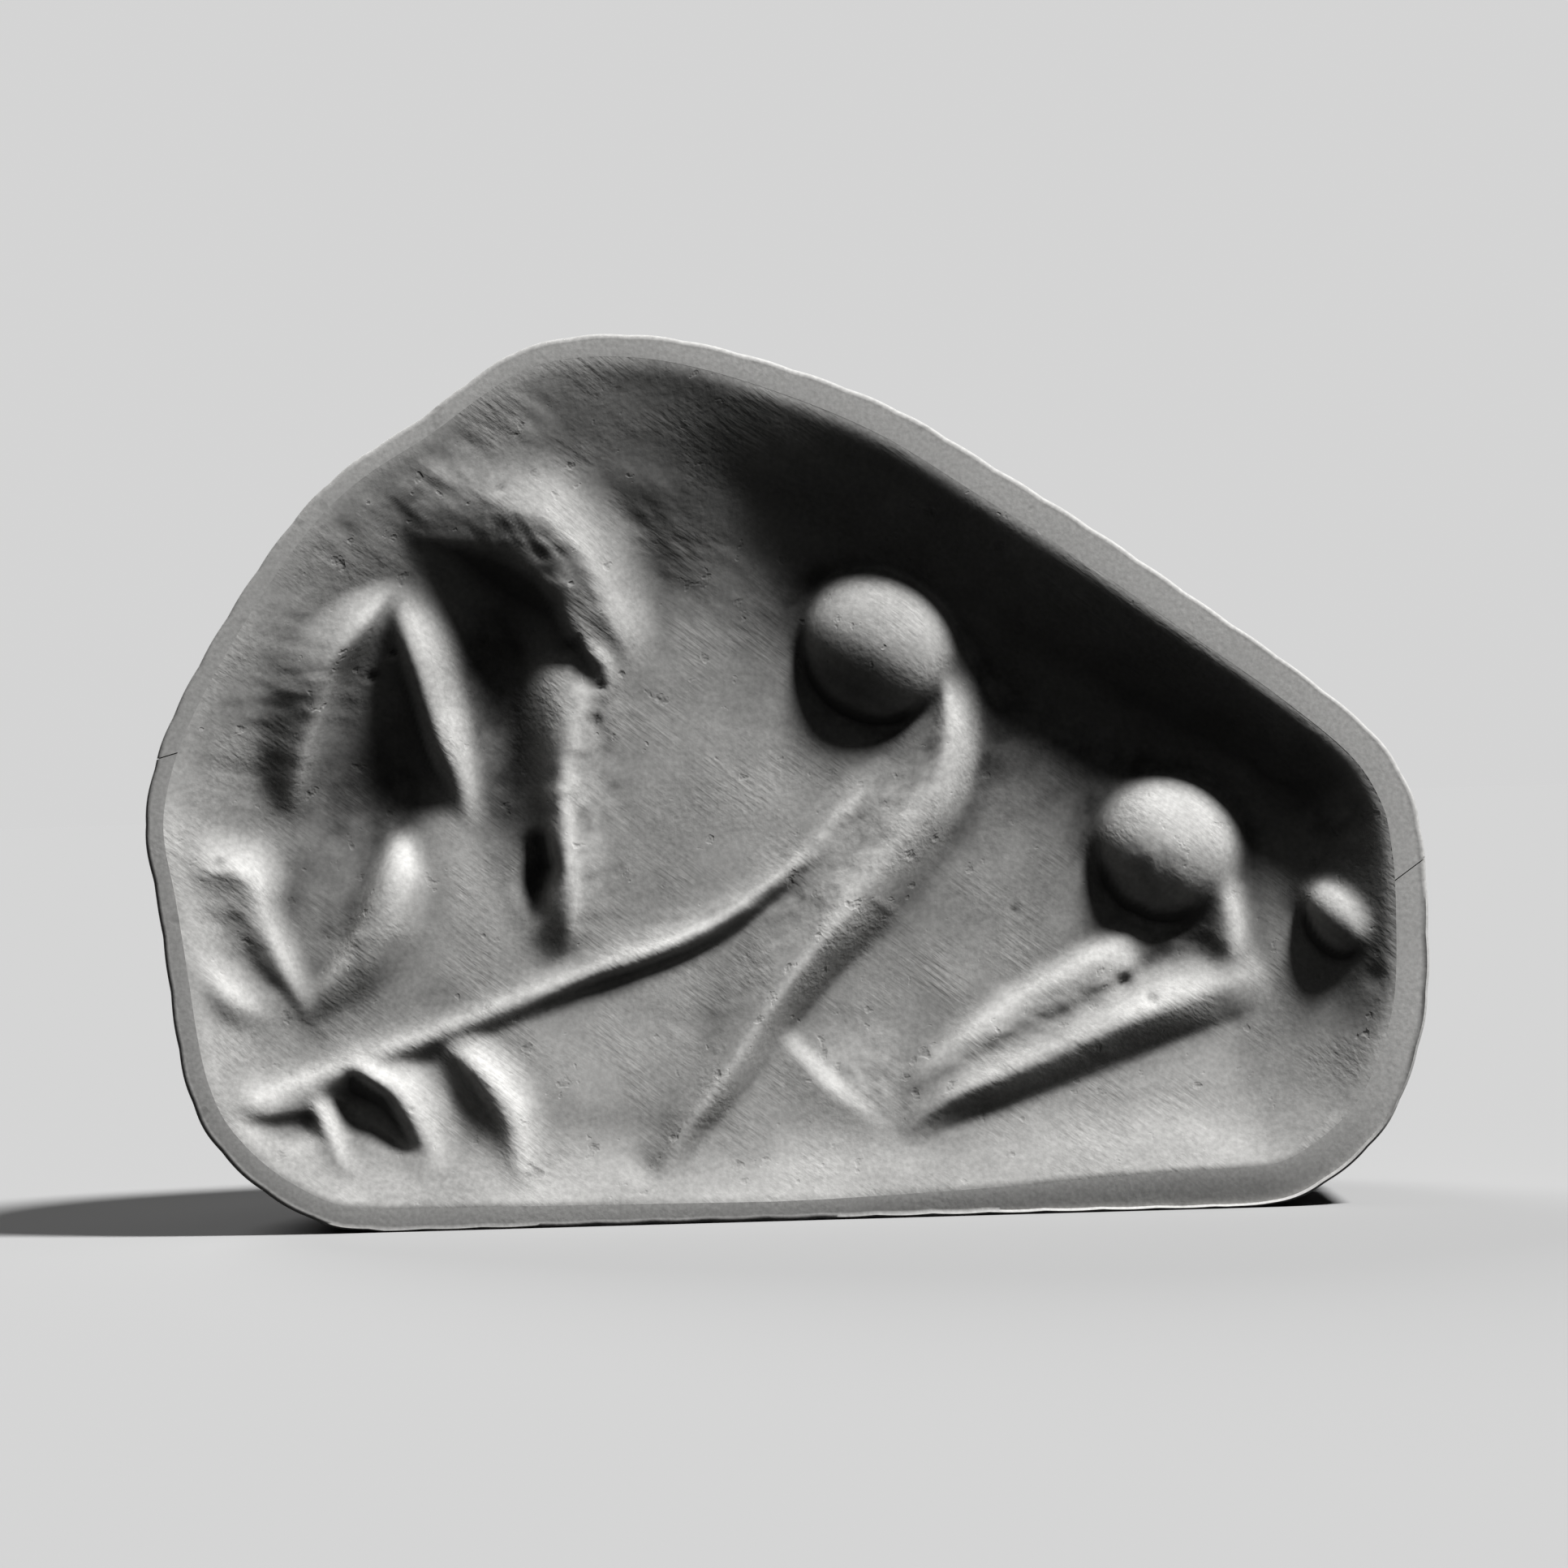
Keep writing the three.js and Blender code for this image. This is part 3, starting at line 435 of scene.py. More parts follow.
# Place, half length, half width, turn, height, and size, direction and stretch of the marks
ROUGH = {
    "streaks left of the ears": ((-9.6, 9.6), 2.2, 1.2, 75, 0.028, 0.3, -12, 3.5),
    "streaks above the head": ((-6.6, 13.9), 2.6, 1.1, 30, 0.023, 0.2, -38, 4.0),
    "inside the crest": ((-4.4, 12.5), 1.4, 0.5, -40, 0.035, 0.16, -50, 2.5),
    "right of the head": ((-1.6, 12.0), 2.4, 1.0, -50, 0.013, 0.2, -35, 3.0),
    "face of the neck": ((-3.6, 8.6), 2.2, 0.6, 84, 0.05, 0.24, 80, 1.4),
    "foot of the neck": ((-3.6, 6.0), 1.4, 0.5, 70, 0.023, 0.2, 60, 1.5),
    "top of the middle leg": ((1.2, 6.9), 2.2, 0.5, 48, 0.045, 0.2, 40, 1.8),
    "along the long leg": ((-2.4, 5.4), 3.4, 0.3, 20, 0.018, 0.16, 22, 2.0),
    "under the spur": ((1.4, 2.6), 0.9, 0.7, 0, 0.023, 0.24, 0, 1.0),
    "top of the hind leg": ((4.9, 3.6), 1.9, 0.5, 27, 0.045, 0.24, 10, 1.8),
    "below the haunch": ((7.2, 4.8), 0.8, 0.5, 0, 0.045, 0.26, 0, 1.2),
    "on the haunch": ((6.6, 6.0), 0.9, 0.8, 0, 0.018, 0.2, 0, 1.0),
    "above the tail": ((10.2, 6.9), 0.8, 0.5, 60, 0.041, 0.24, 60, 2.5),
    "left of the beard": ((-8.3, 5.7), 0.5, 0.7, 0, 0.036, 0.24, 60, 1.5),
    "inside the muzzle": ((-10.5, 5.3), 0.7, 0.6, 0, 0.032, 0.22, -60, 1.6),
    "crook of the legs": ((-1.0, 4.3), 1.2, 0.5, 50, 0.013, 0.2, 50, 1.6),
}
PITS = [  # place, radius and depth of small holes
    (-3.5, 9.35, 0.13, 0.06), (-3.35, 10.0, 0.08, 0.05), (-4.6, 6.5, 0.25, 0.08), (-2.75, 1.0, 0.3, 0.08),
    (6.2, 4.2, 0.14, 0.1), (6.7, 3.9, 0.1, 0.08), (-7.6, 10.3, 0.07, 0.06), (-7.2, 10.7, 0.06, 0.05),
    (-10.5, 6.9, 0.1, 0.07), (-5.1, 13.7, 0.07, 0.05), (10.9, 4.2, 0.2, 0.08), (4.2, 5.6, 0.08, 0.05),
]


COARSE_SHARE, FINE_SHARE = 0.65, 0.35  # of the coarse marks and of marks half their size
COARSE_SEED, FINE_SEED = 20, 60  # seeds for the first rough place


def rough(x, z):
    """Marks of the tools, worn places and pits, in millimetres."""
    height = sum(tall * grain(x, z, size, seed) for size, tall, seed in WAVES)
    for i, (at, along, across, turn, tall, size, way, stretch) in enumerate(ROUGH.values()):
        u, v = turned(x, z, at, turn)
        spot = tall * np.exp(-((u / along) ** 2) - (v / across) ** 2)
        coarse = grain(x, z, size, COARSE_SEED + i, way, stretch)
        fine = grain(x, z, size / 2, FINE_SEED + i, way, stretch)
        height += spot * (COARSE_SHARE * coarse + FINE_SHARE * fine)
    for px, pz, radius, depth in PITS:
        height -= depth * np.exp(-((np.hypot(x - px, z - pz) / radius) ** 2))
    return height


def forms(x, z, from_edge, clear):
    """Height of the smooth forms against the plane of the rim, in millimetres."""
    height = field(x, z, from_edge) + (patches(x, z) + ridges(x, z)) * clear
    for at, across, top, deep, turn in BALLS.values():
        height = join(height, ball(x, z, at, across, top, deep, turn), JOIN_SOFTNESS)
    return height


def blurred(grid, cells):
    """A grid of heights averaged twice over this many cells to each side."""
    for axis in [0, 1] * 2:
        wide = [(cells + 1, cells) if a == axis else (0, 0) for a in (0, 1)]
        total = np.moveaxis(np.cumsum(np.pad(grid, wide, mode="edge"), axis), axis, 0)
        run = 2 * cells + 1
        grid = np.moveaxis((total[run:] - total[:-run]) / run, 0, axis)
    return grid


print(len(BALLS), "balls,", len(RIDGES), "ridges and", len(PATCHES), "patches")

# %% [markdown]
# The face is one sheet of fine squares. A plain rectangular grid would have to be cut at the curved rim,
# so the grid is first bent to a disc and the disc is then stretched to the outline. bmesh makes the grid,
# and code only moves its points. The sheet is then pulled back at its border and closed behind, so the
# stone is a solid. The rim, the grip and the string hole grow instead from a ring of points, one extruded
# line after another.

# %% Helpers for meshes
FACE_SQUARES = 296
RIM_POINTS = 900
FULL_TURN = 2 * math.pi
SHARP_ANGLE = 60  # edges that bend more than this, in degrees, are shown sharp
bearings = np.arange(RIM_POINTS) / RIM_POINTS * FULL_TURN


def inward(points):
    """Unit directions into the face from each point of the outline."""
    way = np.roll(points, -1, 0) - np.roll(points, 1, 0)
    return np.column_stack([-way[:, 1], way[:, 0]]) / np.hypot(*way.T)[:, None]


def radius_at(angles, points):
    """Distance from MIDDLE to a closed line, at the given bearings in radians."""
    out = points - np.array(MIDDLE)
    angle = np.arctan2(out[:, 1], out[:, 0])
    return np.interp(angles, angle, np.hypot(*out.T), period=FULL_TURN)


def on_face(x, z):
    """From the drawing to its real place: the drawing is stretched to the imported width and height."""
    low, high = edge.min(0), edge.max(0)
    real_x = (x - (low[0] + high[0]) / 2) * face_width / (high[0] - low[0])
    return real_x, z * face_height / (high[1] - low[1])


def at_depth(x, depth, z):
    """Points in millimetres from x and z of the drawing and a depth."""
    real_x, real_z = on_face(x, z)
    return np.column_stack([real_x, np.broadcast_to(depth, x.shape), real_z])


def move(verts, points):
    """Moves the vertices to points in millimetres."""
    for vert, point in zip(verts, points):
        vert.co = Vector(point) * MM


def lofted(lines):
    """A surface through closed lines of points, each extruded from the last one, and its two open ends."""
    bm = bmesh.new()
    loop = bmesh.ops.create_circle(bm, segments=len(lines[0]), radius=1)["verts"]
    loop.sort(key=lambda vert: math.atan2(vert.co.y, vert.co.x) % FULL_TURN)
    move(loop, lines[0])
    first = last = list(bm.edges)
    for line in lines[1:]:
        old = {vert: k for k, vert in enumerate(loop)}
        grown = bmesh.ops.extrude_edge_only(bm, edges=last)["geom"]
        last = [part for part in grown if isinstance(part, bmesh.types.BMEdge) and part.is_boundary]
        for vert in [part for part in grown if isinstance(part, bmesh.types.BMVert)]:
            before = next(e.other_vert(vert) for e in vert.link_edges if e.other_vert(vert) in old)
            loop[old[before]] = vert
        move(loop, line)
    return bm, first, last


def lofted_solid(lines):
    """The same surface, closed by a face at each end."""
    bm, first, last = lofted(lines)
    for edges in (first, last):
        bmesh.ops.contextual_create(bm, geom=edges)
    return bm


def new_mesh(name, bm):
    """Writes a bmesh to a mesh and frees it."""
    mesh = bpy.data.meshes.new(name)
    bm.to_mesh(mesh)
    bm.free()
    return mesh


def new_object(name, data):
    """An object with this data, placed in the scene."""
    made = bpy.data.objects.new(name, data)
    bpy.context.scene.collection.objects.link(made)
    return made


def finish_piece(bm, name, material_slot, *nodes):
    """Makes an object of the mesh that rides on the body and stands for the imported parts."""
    bmesh.ops.recalc_face_normals(bm, faces=bm.faces)
    mesh = new_mesh(name, bm)
    mesh.shade_smooth()
    mesh.set_sharp_from_angle(angle=math.radians(SHARP_ANGLE))
    piece = new_object(name, mesh)
    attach(piece, "root")
    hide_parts(*nodes)
    print(f"{name}: {len(mesh.polygons)} faces")
    return piece


rim_width = around(edge[:, 0], edge[:, 1], 1)
rim_inner = edge + inward(edge) * rim_width[:, None]
inner_radius = radius_at(bearings, rim_inner)
outer_radius = radius_at(bearings, edge)

# %% [markdown]
# The stone's colour is not the same everywhere, and part of it is painted light. Places that lie deeper than
# what is round them, and the deepest parts of the field, get painted shade, and the crests get a painted
# highlight. Both can be measured on the grid: the height there is compared with the height averaged over the
# neighbourhood. The two results are kept on the mesh as attributes, which the materials read.

# %% Painted shade in the hollows and a painted highlight on the crests
SOFTEN_CELLS = 1
NEAR_CELLS, FAR_CELLS = 4, 14  # how far the neighbourhood goes
NEAR_SHARE, FAR_SHARE = 0.4, 0.6
PAINTED_SHADE_NEAR, PAINTED_SHADE_FAR, PAINTED_HIGHLIGHT_NEAR = 0.1, 0.35, 0.055  # differences in height that count in full, mm
PAINTED_SHADE_FROM, PAINTED_SHADE_OVER = 0.75, 0.55  # the deepest parts of the field get painted shade too


def painted_shade_and_highlight(height):
    """How much painted shade and how much painted highlight each point gets, from 0 to 1."""
    near, far = blurred(height, NEAR_CELLS), blurred(height, FAR_CELLS)
    # painted shade where a place lies below its neighbourhood, painted highlight where it stands above it
    sunk = np.clip((near - height) / PAINTED_SHADE_NEAR, 0, 1) * NEAR_SHARE
    sunk += np.clip((far - height) / PAINTED_SHADE_FAR, 0, 1) * FAR_SHARE
    deep = smooth((-height - PAINTED_SHADE_FROM) / PAINTED_SHADE_OVER)
    return np.clip(sunk + deep, 0, 1), np.clip((height - near) / PAINTED_HIGHLIGHT_NEAR, 0, 1)


print("painted shade counts in full", PAINTED_SHADE_NEAR, "and", PAINTED_SHADE_FAR, "mm below the neighbourhood")

# %% [markdown]
# Now the sheet is made. Its points are sorted by row and column first, because the heights are worked out
# as a grid of numbers and each number has to reach its own point.

# %% The carved face
def make_face():
    """The carved sheet, closed at the back."""
    bm = bmesh.new()
    # the attribute hollow holds painted shade and the attribute worn a painted highlight
    layers = [bm.verts.layers.float.new(name) for name in ("hollow", "worn")]
    bmesh.ops.create_grid(bm, x_segments=FACE_SQUARES, y_segments=FACE_SQUARES, size=1)
    bm.verts.ensure_lookup_table()
    places = np.array([vert.co.xy for vert in bm.verts]).round(5)
    sheet = [bm.verts[i] for i in np.lexsort((places[:, 0], places[:, 1]))]
    u, v = np.array([vert.co.xy for vert in sheet]).T
    a, b = u * np.sqrt(1 - v * v / 2), v * np.sqrt(1 - u * u / 2)
    angle = np.arctan2(b, a)
    reach = np.hypot(a, b) * radius_at(angle, rim_inner)
    x, z = MIDDLE[0] + reach * np.cos(angle), MIDDLE[1] + reach * np.sin(angle)
    from_edge = line_distance(x, z, coarse_edge)
    clear = smooth((from_edge - around(x, z, 1)) / RIM_CLEAR)
    plain = forms(x, z, from_edge, clear).reshape(FACE_SQUARES + 1, FACE_SQUARES + 1)
    height = np.where(clear.reshape(plain.shape) > 0, blurred(plain, SOFTEN_CELLS), plain)
    height = height + (rough(x, z) * clear).reshape(plain.shape)
    move(sheet, at_depth(x, front - height.ravel(), z))
    # painted shade and painted highlight are kept on each point
    for layer, values in zip(layers, painted_shade_and_highlight(height)):
        for vert, value in zip(sheet, values.ravel()):
            vert[layer] = value
    border = [e for e in bm.edges if e.is_boundary]
    wall = bmesh.ops.extrude_edge_only(bm, edges=border)["geom"]
    back = [e for e in wall if isinstance(e, bmesh.types.BMEdge) and e.is_boundary]
    for vert in {vert for e in back for vert in e.verts}:
        vert.co.y = bed_front * MM
    bmesh.ops.contextual_create(bm, geom=back)
    return finish_piece(bm, "carved_face_stone", "carved_stone", "carved_face")


face = make_face()

# %% [markdown]
# The rim is a ring with one section all the way round: back, outer side, a small rounding, the smooth top
# and the inner side. It starts as a circle of points, and each next line of the section is extruded from
# the last one. Two thin cuts part it at its seams. The outer edge was dressed in short strokes, so it is
# very slightly scalloped.

# %% The two halves of the rim
EDGE_ROUNDING = 0.1
ROUNDING_TURNS = (0, 30, 60)
SCALLOP_LENGTH, SCALLOP_DEPTH = 1.05, 0.022
SEAMS = {"left": (-1, 8.8, 15), "right": (1, 6.4, 35)}  # side, height and tilt in degrees
SEAM_GAP = 0.02
SEAM_REACH = 3.0  # the tilted cut goes no further than this from the seam
TOP_LINES = 9


def scallops(bearing, radius):
    """How far each point of the outer edge is set in, in short hollows along it."""
    steps = np.hypot(np.diff(radius * np.cos(bearing)), np.diff(radius * np.sin(bearing)))
    run = np.concatenate([[0], np.cumsum(steps)])
    return SCALLOP_DEPTH * (1 - np.abs(np.sin(math.pi * run / SCALLOP_LENGTH)))


def rim_section():
    """Lines of the section, as radius and depth, from the back of the outer side to that of the inner one."""
    outer = outer_radius - scallops(bearings, outer_radius)
    lines = [(outer, bed_front)]
    for turn in np.radians(ROUNDING_TURNS):
        inset, back = EDGE_ROUNDING * (1 - math.cos(turn)), EDGE_ROUNDING * (1 - math.sin(turn))
        lines.append((outer - inset, front + back))
    for share in np.linspace(0, 1, TOP_LINES):
        radius = (outer - EDGE_ROUNDING) * (1 - share) + inner_radius * share
        x, z = MIDDLE[0] + radius * np.cos(bearings), MIDDLE[1] + radius * np.sin(bearings)
        lines.append((radius, front - field(x, z, line_distance(x, z, coarse_edge))))
    lines.append((inner_radius, bed_front))
    return lines


def rim_ring():
    """The whole rim before it is cut."""
    x, z = np.cos(bearings), np.sin(bearings)
    lines = [at_depth(MIDDLE[0] + reach * x, depth, MIDDLE[1] + reach * z) for reach, depth in rim_section()]
    bm, first, last = lofted(lines)
    bmesh.ops.bridge_loops(bm, edges=first + last)
    bmesh.ops.recalc_face_normals(bm, faces=bm.faces)
    return bm


def seam_at(side, height, tilt):
    """A point of a seam, and the direction straight up from its plane."""
    turn = math.radians(tilt)
    return Vector((side * face_width / 2, 0, height)) * MM, Vector((-math.sin(turn), 0, math.cos(turn)))


def belongs(face, keep):
    """Whether a face of the ring is on the half that is kept: 1 for the upper one, -1 for the lower one."""
    point = face.calc_center_median()
    at, up = seam_at(*SEAMS["right" if point.x > 0 else "left"])
    # The point is moved towards the half by the gap, so that the sliver in the seam goes as well
    point = point - up * (keep * SEAM_GAP / 2 * MM)
    near = math.hypot(point.x - at.x, point.z - at.z) < SEAM_REACH * MM
    return (point - at).dot(up if near else Vector((0, 0, 1))) * keep > 0


def make_rim(name, keep, node):
    """One half of the rim, cut off at both seams."""
    bm = rim_ring()
    for seam in SEAMS.values():
        at, up = seam_at(*seam)
        reach = SEAM_REACH * MM
        faces = [f for f in bm.faces
                 if max(math.hypot(vert.co.x - at.x, vert.co.z - at.z) for vert in f.verts) < reach]
        parts = set(faces) | {e for f in faces for e in f.edges} | {vert for f in faces for vert in f.verts}
        cut_at = at + up * (keep * SEAM_GAP / 2 * MM)
        bmesh.ops.bisect_plane(bm, geom=list(parts), dist=1e-8, plane_co=cut_at, plane_no=up * keep)
    lost = [f for f in bm.faces if not belongs(f, keep)]
    bmesh.ops.delete(bm, geom=lost, context="FACES")
    bmesh.ops.holes_fill(bm, edges=[e for e in bm.edges if e.is_boundary], sides=0)
    return finish_piece(bm, name, "rim_stone", node)


upper = make_rim("upper_rim_stone", 1, "upper_rim")
lower = make_rim("lower_rim_stone", -1, "lower_rim")

# %% [markdown]
# The grip is the outline again, drawn smaller and smaller towards the back as a dome does, while its foot
# stays flat. The string hole is cut with a Boolean modifier, which is then applied, and its mouths flare
# a little because every real drilled hole is rubbed round by its string.

# %% The grip and its string hole
GRIP_POINTS = 480
GRIP_BACK_SHARE = 10.7 / 23.7  # width of the flat at the back against the front
GRIP_TURNS = np.radians([0, 4, 9, 15, 21, 27, 33, 39, 45, 51, 57, 63, 68, 73, 77, 81, 84, 87, 89, 90])
WORN_DEPTH, WORN_SIZE, WORN_SEED = 0.05, 3.0, 5
WORN_SHIFT = 40.0  # how far from the middle the pattern is taken
HALF_WIDTH = 12.0  # turns a wear in millimetres into a share of the outline
BORE = {"radius": 1.2, "height": 8.2, "behind_bed": 4.4, "flare": 0.35}
BORE_SIDES, BORE_RINGS = 64, 61
BORE_PAST = 1.05  # the drill goes a little past both sides
FLARE_AT, FLARE_LENGTH = 0.86, 0.07  # shares of the way from the middle to a side


def make_grip():
    """The dome, from the bed to the flat at its back."""
    outline = even_points(edge, GRIP_POINTS)
    depth = grip_back - grip_front
    full_turn = math.acos(GRIP_BACK_SHARE)
    lines = []
    for turn in GRIP_TURNS:
        here = turn / GRIP_TURNS[-1] * full_turn
        back = depth * math.sin(here) / math.sin(full_turn)
        pattern = grain(outline[:, 0] + WORN_SHIFT, outline[:, 1] + back, WORN_SIZE, WORN_SEED)
        worn = WORN_DEPTH * (0.5 + 0.5 * pattern) * math.sin(2 * turn)
        share = math.cos(here) - worn / HALF_WIDTH
        lines.append(at_depth(outline[:, 0] * share, grip_front + back, outline[:, 1] * share))
    return finish_piece(lofted_solid(lines), "grip_stone_dome", "grip_stone", "grip")


def bore_radius(share):
    """Radius of the string hole at a share of the way from the middle to a side."""
    flare = np.exp(-(((share - FLARE_AT) / FLARE_LENGTH) ** 2)) if share < FLARE_AT else 1.0
    return BORE["radius"] + BORE["flare"] * flare


def drill(piece):
    """Cuts the string hole through the piece from side to side."""
    angles = np.arange(BORE_SIDES) / BORE_SIDES * FULL_TURN
    lines = []
    for share in np.linspace(-BORE_PAST, BORE_PAST, BORE_RINGS):
        wide = bore_radius(abs(share))
        y = grip_front + BORE["behind_bed"] + wide * np.cos(angles)
        x = np.full(BORE_SIDES, share * face_width / 2)
        lines.append(np.column_stack([x, y, BORE["height"] + wide * np.sin(angles)]))
    bm = lofted_solid(lines)
    bmesh.ops.recalc_face_normals(bm, faces=bm.faces)
    cutter = new_object("string_hole", new_mesh("string_hole", bm))
    cut = piece.modifiers.new("string_hole", "BOOLEAN")
    cut.operation = "DIFFERENCE"
    cut.solver = "EXACT"
    cut.object = cutter
    drilled = bpy.data.meshes.new_from_object(piece.evaluated_get(bpy.context.evaluated_depsgraph_get()))
    piece.modifiers.clear()
    piece.data = drilled
    bpy.data.objects.remove(cutter)
    print("drilled", len(drilled.polygons), "faces")


grip = make_grip()
drill(grip)

# %% [markdown]
# The stone is dull and grey, with soft clouds, fine specks and a rough grain. One noise texture could
# give all of it, but each of these has its own scale, so each is a node group with its own sockets. A
# group is made once, and every material places it with other values. The patterns lie in object
# coordinates, brought to millimetres, so a size in the material is the size on the stone.

# %% Helpers for node trees
def node(tree, kind, sockets, **settings):
    """Adds a node. A socket is given a value, or another node's output to be linked to."""
    made = tree.nodes.new(kind)
    for name, value in settings.items():
        setattr(made, name, value)
    for name, value in sockets.items():
        if isinstance(value, bpy.types.NodeSocket):
            tree.links.new(value, made.inputs[name])
        else:
            made.inputs[name].default_value = value
    return made


def maths(tree, operation, a, b):
    """One sum of two values or outputs."""
    return node(tree, "ShaderNodeMath", {0: a, 1: b}, operation=operation).outputs[0]


def times(tree, a, b):
    """The product of two values or outputs."""
    return maths(tree, "MULTIPLY", a, b)


def new_group(name, inputs, outputs):
    """A node group, with its inner input and output nodes."""
    group = bpy.data.node_groups.new(name, "ShaderNodeTree")
    for label, value in inputs.items():
        kind = "NodeSocketFloat" if isinstance(value, float) else "NodeSocketColor"
        socket = group.interface.new_socket(label, in_out="INPUT", socket_type=kind)
        socket.default_value = value
    for label, kind in outputs.items():
        group.interface.new_socket(label, in_out="OUTPUT", socket_type="NodeSocket" + kind)
    print("group:", name)
    return group, group.nodes.new("NodeGroupInput").outputs, group.nodes.new("NodeGroupOutput").inputs


def noise_mm(tree, size, detail=3.0, turn=0.0, stretch=1.0):
    """Noise with features of a size in millimetres, turned on the face and drawn out along it."""
    here = tree.nodes.new("ShaderNodeTexCoord").outputs["Object"]
    turned_by = {"Vector": here, "Rotation": (0, math.radians(turn), 0)}
    mapped = node(tree, "ShaderNodeMapping", turned_by, vector_type="TEXTURE")
    to_mm = (1 / stretch / MM, 1 / MM, 1 / MM)
    drawn = node(tree, "ShaderNodeMapping", {"Vector": mapped.outputs[0], "Scale": to_mm})
    sockets = {"Vector": drawn.outputs[0], "Scale": maths(tree, "DIVIDE", 1.0, size), "Detail": detail}
    return node(tree, "ShaderNodeTexNoise", sockets).outputs["Fac"]


def stretched(tree, value, low, high, to_low, to_high):
    """A value moved from one range to another."""
    sockets = {"Value": value, "From Min": low, "From Max": high, "To Min": to_low, "To Max": to_high}
    return node(tree, "ShaderNodeMapRange", sockets).outputs[0]


def tinted(tree, colour, share):
    """A colour made darker or lighter by a share."""
    return node(tree, "ShaderNodeVectorMath", {0: colour, "Scale": share}, operation="SCALE").outputs[0]

# %% Group: clouds and specks
white = (1.0, 1.0, 1.0, 1.0)
clouds_group, given, wanted = new_group(
    "stone clouds and specks",
    {"Colour": white, "Cloud Size": 2.5, "Cloud Strength": 0.1, "Speck Size": 0.12, "Speck Strength": 0.1},
    {"Colour": "Color"},
)
tree = clouds_group
cloud = stretched(tree, noise_mm(tree, given["Cloud Size"], 5.0), 0.3, 0.7, -1.0, 1.0)
speck = stretched(tree, noise_mm(tree, given["Speck Size"], 2.0), 0.3, 0.7, -1.0, 1.0)
clouds = times(tree, cloud, given["Cloud Strength"])
both = maths(tree, "ADD", clouds, times(tree, speck, given["Speck Strength"]))
tree.links.new(tinted(tree, given["Colour"], maths(tree, "ADD", both, 1.0)), wanted["Colour"])

# %% [markdown]
# The grain of a worn stone is rough in some places and rubbed in others. So a wide noise, some grains
# across, says how much of the fine one is left. The pits are where a third noise comes near its highest
# values.

# %% Group: grit and pits
ROUGH_PATCH = 16.0  # width of a rough patch, in grains
grit_group, given, wanted = new_group(
    "stone grit", {"Grain Size": 0.1, "Pit Size": 0.5, "Pit Depth": 1.0},
    {"Height": "Float", "Pits": "Float"},
)
tree = grit_group
patch_size = times(tree, given["Grain Size"], ROUGH_PATCH)
patchy = stretched(tree, noise_mm(tree, patch_size, 3.0), 0.35, 0.65, 0.25, 1.0)
grain_height = times(tree, noise_mm(tree, given["Grain Size"], 4.0), patchy)
pits = stretched(tree, noise_mm(tree, given["Pit Size"], 3.0), 0.66, 0.76, 0.0, 1.0)
pit_depth = times(tree, pits, given["Pit Depth"])
tree.links.new(maths(tree, "SUBTRACT", grain_height, pit_depth), wanted["Height"])
tree.links.new(pits, wanted["Pits"])

# %% [markdown]
# A tool or a cloth that is drawn over stone leaves marks that all run one way. A stretched noise gives
# them, and a wide one leaves them only here and there.

# %% Group: streaks
STREAK_TURN, STREAK_STRETCH = 38, 7  # direction in degrees, and length against width
STREAK_PATCH = 14.0  # width of a streaked patch, in streaks
streak_group, given, wanted = new_group("drawn streaks", {"Width": 0.12}, {"Height": "Float"})
tree = streak_group
across_face = noise_mm(tree, given["Width"], 3.0, turn=STREAK_TURN, stretch=STREAK_STRETCH)
patch_size = times(tree, given["Width"], STREAK_PATCH)
patchy = stretched(tree, noise_mm(tree, patch_size, 2.0), 0.4, 0.65, 0.0, 1.0)
tree.links.new(times(tree, across_face, patchy), wanted["Height"])

# %% [markdown]
# The last group reads the two attributes of the carved sheet: painted shade in the hollows and a painted
# highlight on the crests. It also paints shade on the sides that face away from the lamp at the upper right,
# so these are darker in colour as well.

# %% Group: painted shade and highlight
# Painted shade: sides that face this way, away from the key lamp at the upper right, are made darker in
# colour.
SIDE_AWAY_FROM_KEY = (-0.5, 0.0, -0.87)
SIDE_SHADE_FROM, SIDE_SHADE_FULL = 0.05, 0.5
SHADE_SPOTS = 0.5  # size of the lighter and darker spots in the painted shade, mm
painted_shade_group, given, wanted = new_group(
    "painted shade and highlight", {"Colour": white, "Painted Shade": 0.6, "Painted Highlight": 0.2, "Painted Side Shade": 0.2},
    {"Colour": "Color", "Painted Shade": "Float"},
)
tree = painted_shade_group
# painted shade in the hollows and painted highlight on the crests, read from the sheet
hollow = node(tree, "ShaderNodeAttribute", {}, attribute_name="hollow").outputs["Fac"]
worn = node(tree, "ShaderNodeAttribute", {}, attribute_name="worn").outputs["Fac"]
uneven = stretched(tree, noise_mm(tree, SHADE_SPOTS, 4.0), 0.3, 0.7, 0.75, 1.1)
painted_shading = times(tree, times(tree, hollow, uneven), given["Painted Shade"])
painted_highlight = times(tree, worn, given["Painted Highlight"])
# painted shade on the sides turned away from the key lamp
facing = {0: tree.nodes.new("ShaderNodeNewGeometry").outputs["Normal"], 1: SIDE_AWAY_FROM_KEY}
turned_away = node(tree, "ShaderNodeVectorMath", facing, operation="DOT_PRODUCT").outputs["Value"]
painted_side_shade = stretched(tree, turned_away, SIDE_SHADE_FROM, SIDE_SHADE_FULL, 0.0, 1.0)
under = times(tree, painted_side_shade, given["Painted Side Shade"])
kept = times(tree, maths(tree, "SUBTRACT", 1.0, painted_shading), maths(tree, "SUBTRACT", 1.0, under))
share = maths(tree, "ADD", kept, painted_highlight)
tree.links.new(tinted(tree, given["Colour"], share), wanted["Colour"])
tree.links.new(painted_shading, wanted["Painted Shade"])

